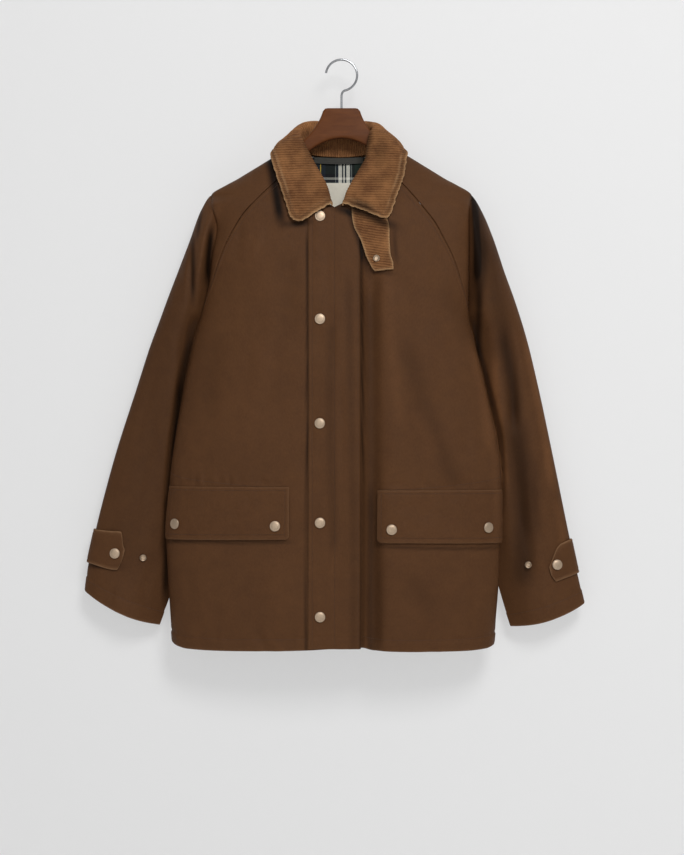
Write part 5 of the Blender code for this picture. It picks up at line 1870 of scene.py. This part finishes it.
@dataclass
class Fasteners:
    """Snap caps and ring studs, each kind modelled once and copied."""

    shop: Workshop
    facets: int = 40
    cap: tuple[Turn, ...] = rows_of(
        Turn,
        (7.7, 0.0), (8.2, 0.5), (8.3, 1.2), (8.1, 1.8), (7.6, 2.2), (7.1, 2.2), (6.8, 2.1), (6.3, 2.35),
        (5.4, 2.6), (4.0, 2.8), (2.2, 2.92), (0.6, 2.95),
    )
    stud: tuple[Turn, ...] = rows_of(
        Turn,
        (5.2, 0.0), (5.6, 0.5), (5.5, 1.3), (5.0, 2.2), (4.3, 2.6), (3.5, 2.3), (2.9, 1.6), (2.6, 1.1),
        (1.4, 1.0), (0.5, 1.0),
    )

    def turned(self, profile: Sequence[Turn]) -> bpy.types.Mesh:
        """Model a turned form at the origin, facing up, by pushing a disc up ring by ring.

        Args:
            profile: Its rings, from the foot to the middle of its top.

        Returns:
            The mesh.
        """
        bpy.ops.object.select_all(action="DESELECT")
        bpy.ops.mesh.primitive_circle_add(vertices=self.facets, radius=profile[0].radius * MM,
                                          fill_type="NGON")
        model = bpy.context.object
        bpy.ops.object.mode_set(mode="EDIT")
        bpy.ops.mesh.select_all(action="SELECT")
        for low, high in zip(profile, profile[1:]):
            move = {"value": (0.0, 0.0, (high.height - low.height) * MM)}
            bpy.ops.mesh.extrude_region_move(TRANSFORM_OT_translate=move)
            share = high.radius / low.radius
            bpy.ops.transform.resize(value=(share, share, 1.0))
        bpy.ops.mesh.select_all(action="SELECT")
        bpy.ops.mesh.normals_make_consistent(inside=False)
        bpy.ops.object.mode_set(mode="OBJECT")
        bpy.ops.object.shade_smooth_by_angle(angle=math.radians(50))
        mesh = model.data
        bpy.data.objects.remove(model)
        return mesh

    def place(self, mesh: bpy.types.Mesh, node: str, foot: np.ndarray, facing: np.ndarray) -> None:
        """Copy a form to its seat, where it stands for its node."""
        copy = mesh.copy()
        turn = Vector(facing).to_track_quat("Z", "Y").to_matrix().to_4x4()
        copy.transform(Matrix.Translation(Vector(foot) * MM) @ turn)
        copy.materials.append(self.shop.snap)
        stand_for(shown(f"{node}_metal", copy), node)

    def build(self) -> None:
        """Seat every snap and stud."""
        trunk, cap, stud = self.shop.trunk, self.turned(self.cap), self.turned(self.stud)
        on_cloth = CLOTH_WALL / 2 + SEAM_GAP + DOUBLED_WALL + 0.1

        def on_front(mesh: bpy.types.Mesh, node: str, x: float, z: float, lift: float,
                     troughed: bool) -> None:
            across, height = np.array([x]), np.array([z])
            self.place(mesh, node, trunk.lifted(across, height, lift, troughed)[0],
                       trunk.facing(across, height, troughed)[0])

        for number, z in enumerate((-255.0, -417.0, -580.0, -735.5, -882.6), 1):
            on_front(cap, f"placket_snap_{number}", -33.5, z, on_cloth + 0.25, True)
        for side, flap in FLAPS.items():
            for name, share, down in (("inner", 0.07, 61.0), ("outer", flap.outer_snap, 59.0)):
                z = FLAP_TOP + flap.drop - down
                end = float(trunk.table(side.word, z)) * flap.reach
                x = side.value * (flap.inner + (end - flap.inner) * math.sin(math.pi / 2 * share))
                on_front(cap, f"flap_snap_{side.word}_{name}", x, z, on_cloth + 2.0, False)
            arm = self.shop.arms[side]
            for mesh, node, seat, lift in ((cap, "cuff_snap", CUFF_SNAPS[side], 5.2),
                                           (stud, "cuff_stud", CUFF_STUDS[side], 1.6)):
                at = np.array([seat[0]]), np.array([seat[1]])
                self.place(mesh, f"{node}_{side.word}", arm.lifted(*at, lift)[0], arm.facing(*at)[0])
        on_front(stud, "throat_stud", 55.0, -322.0, on_cloth + 3 * SEAM_GAP + CORDUROY_WALL, False)
        log.info("snaps and studs: 14 seated")


@dataclass
class Hanger:
    """The hanger's broad-necked body and its wire hook."""

    thick: float = 11.0
    round_over: float = 4.0
    neck: float = 28.5
    top_z: float = -76.0
    tip_x: float = 198.0
    slope: float = 0.613
    ridge_x: float = 78.0
    ridge_z: float = -139.3
    wire: float = 1.9
    hook: float = 25.0

    def ridge(self, x: float) -> float:
        """Height of the shoulder's straight run."""
        return self.ridge_z - (x - self.ridge_x) * self.slope

    def half_outline(self) -> list[tuple[float, float]]:
        """Half of the outline, from the top of the neck round to the middle of the arch."""
        flare_x = 66.0
        flare_z = self.ridge(flare_x)
        points = [(self.neck - 6.5, self.top_z), (self.neck - 2.4, self.top_z - 0.7),
                  (self.neck - 0.2, self.top_z - 3.2)]
        for step in range(2, 25):
            t = step / 24
            points.append((bend(self.neck, 35.5, flare_x, t), bend(self.top_z, -106, flare_z, t)))
        tip_z = self.ridge(self.tip_x)
        points += [(x, self.ridge(x)) for x in (self.tip_x * 0.66, self.tip_x - 4)]
        points += [(self.tip_x + 0.6, tip_z - 2), (self.tip_x + 2, tip_z - 6), (self.tip_x + 1.4, tip_z - 11),
                   (self.tip_x - 1, tip_z - 15), (self.tip_x - 5, tip_z - 18), (70, -158), (60, -154)]
        for step in range(19):
            x = 52 * (1 - step / 18)
            points.append((x, -124.5 - 21.5 * (x / 52) ** 2))
        return points

    def from_curve(self, name: str, points: Sequence[tuple[float, float, float]], bevel: float,
                   flat: bool) -> bpy.types.Mesh:
        """Mesh of a rounded plate with an outline, or of a wire along a route."""
        curve = bpy.data.curves.new(name, "CURVE")
        curve.dimensions = "2D" if flat else "3D"
        curve.bevel_depth = bevel * MM
        curve.bevel_resolution = 4
        if flat:
            curve.fill_mode = "BOTH"
            curve.extrude = (self.thick / 2 - bevel) * MM
            curve.offset = -bevel * MM
        curve.use_fill_caps = True
        spline = curve.splines.new("POLY")
        spline.points.add(len(points) - 1)
        spline.use_cyclic_u = flat
        for knot, (x, y, z) in zip(spline.points, points):
            knot.co = (x * MM, y * MM, z * MM, 1.0)
        guide = shown(name, curve)
        bpy.context.view_layer.update()
        mesh = bpy.data.meshes.new_from_object(guide.evaluated_get(bpy.context.evaluated_depsgraph_get()))
        bpy.data.objects.remove(guide)
        face_outwards(mesh, merged=True)
        return mesh

    def dress(self, mesh: bpy.types.Mesh, node: str, finish: bpy.types.Material) -> None:
        """Let a mesh stand for its node."""
        mesh.shade_smooth()
        mesh.set_sharp_from_angle(angle=math.radians(40))
        mesh.materials.clear()
        mesh.materials.append(finish)
        stand_for(shown(f"{node}_piece", mesh), node)
        log.info("%s: %d faces", node, len(mesh.polygons))

    def build(self) -> None:
        """Make the body and the hook."""
        half = self.half_outline()
        outline = [(x, z, 0.0) for x, z in half + [(-x, z) for x, z in reversed(half[:-1])]]
        body = self.from_curve("hanger outline", outline, self.round_over, True)
        body.transform(Matrix.Rotation(math.pi / 2, 4, "X"))
        self.dress(body, "hanger_body", StainedWood().material())
        centre = self.wire - self.hook
        route = []
        for step in range(61):
            angle = math.radians(172 - 250 * step / 60)
            route.append((self.hook * math.cos(angle), 0.0, centre + self.hook * math.sin(angle)))
        bend_x, bend_z = route[-1][0], route[-1][2]
        foot = self.top_z - 13.0
        for step in range(1, 13):
            t = step / 12
            route.append((bend_x * (1 - t) ** 2, 0.0, bend(bend_z, bend_z - 2.2, bend_z - 10, t)))
        route.append((0.0, 0.0, foot))
        metal = Metal("bright wire", paint(196, 198, 200), paint(168, 170, 174), 0.18).material()
        self.dress(self.from_curve("hook wire", route, self.wire, False), "hanger_hook", metal)


@dataclass
class Studio:
    """Camera, lights, floor and wall."""

    eye: tuple[float, float, float] = (0.0008, -3.0, -0.5867)
    lens: float = 78.95
    wall_y: float = 0.05
    floor_z: float = -1.36
    aim: tuple[float, float, float] = (0.0, 0.0, -0.5)

    def lamp(self, name: str, at: tuple[float, float, float], power: float, size: float) -> None:
        """Add a soft white area light that points at the jacket.

        Args:
            name: Its name.
            at: Its place.
            power: Watts.
            size: Side of its square face, in metres.
        """
        data = bpy.data.lights.new(name, "AREA")
        data.energy, data.size = power, size
        item = shown(name, data)
        item.location = at
        item.rotation_mode = "QUATERNION"
        item.rotation_quaternion = (Vector(self.aim) - Vector(at)).to_track_quat("-Z", "Y")

    def sheet(self, name: str, corners: Sequence[tuple[float, float, float]], finish: StudioPaper) -> None:
        """Add a flat stage piece."""
        mesh = bpy.data.meshes.new(name)
        mesh.from_pydata(list(corners), [], [(0, 1, 2, 3)])
        mesh.materials.append(finish.material())
        shown(name, mesh)

    def build(self) -> None:
        """Set the scene up."""
        data = bpy.data.cameras.new("camera")
        data.lens, data.sensor_width = self.lens, FILM_WIDTH
        camera = shown("camera", data)
        camera.location = self.eye
        camera.rotation_euler = (math.pi / 2, 0.0, 0.0)
        bpy.context.scene.camera = camera
        bpy.context.scene.view_settings.view_transform = "Standard"
        wide, top = 3.5, 2.2
        turns = ((-wide, 0), (wide, 0), (wide, 1), (-wide, 1))
        # The wall glows with painted light, so the jacket's shadows on it stay faint.
        self.sheet("studio_wall", [(x, self.wall_y, (self.floor_z, top)[up]) for x, up in turns],
                   StudioPaper("wall paper", (0.36, 0.36, 0.36, 1.0), True, 0.5))
        self.sheet("studio_floor", [(x, (-wide, wide)[back], self.floor_z) for x, back in turns],
                   StudioPaper("floor paper", (0.80, 0.80, 0.80, 1.0)))
        self.lamp("key", (0.75, -2.9, 1.45), 68.0, 1.1)
        self.lamp("fill", (-0.9, -3.2, -0.4), 12.0, 2.4)
        self.lamp("rear", (1.2, 2.6, 1.2), 40.0, 1.4)
        world = bpy.data.worlds.new("studio")
        world.use_nodes = True
        sky = world.node_tree.nodes["Background"].inputs
        sky["Color"].default_value, sky["Strength"].default_value = (1.0, 1.0, 1.0, 1.0), 0.26
        bpy.context.scene.world = world


def main() -> None:
    """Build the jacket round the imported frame."""
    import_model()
    Studio().build()
    trunk = Trunk()
    shop = Workshop(
        trunk=trunk,
        arms={side: Arm(side, trunk) for side in Side},
        waxed=WaxedCotton().material(),
        corduroy=Corduroy().material(),
        lining=CheckedLining().material(),
        label=Woven("bare label", paint(246, 240, 224), paint(234, 226, 206), 0.7, 0.0009).material(),
        band=Woven("loop band", paint(44, 43, 38), paint(62, 60, 53)).material(),
        snap=Metal("champagne snap", paint(206, 184, 160), paint(178, 156, 132), 0.5).material(),
        thread=Woven("thread", paint(60, 38, 24), paint(78, 52, 34), 0.7, 0.0007).material(),
        seams=Stitching("stitches"),
    )
    for group in (BodyPanels, Sleeves, Collar, Overlays, CuffTabs, NeckInside, Fasteners):
        group(shop).build()
    Hanger().build()
    stitches = shop.seams.build()
    stitches.data.materials.append(shop.thread)
    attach(stitches, "root")
    log.info("stitches: %d faces", len(stitches.data.polygons))


if __name__ == "__main__":
    logging.basicConfig(level=logging.INFO, format="%(name)s: %(message)s")
    main()
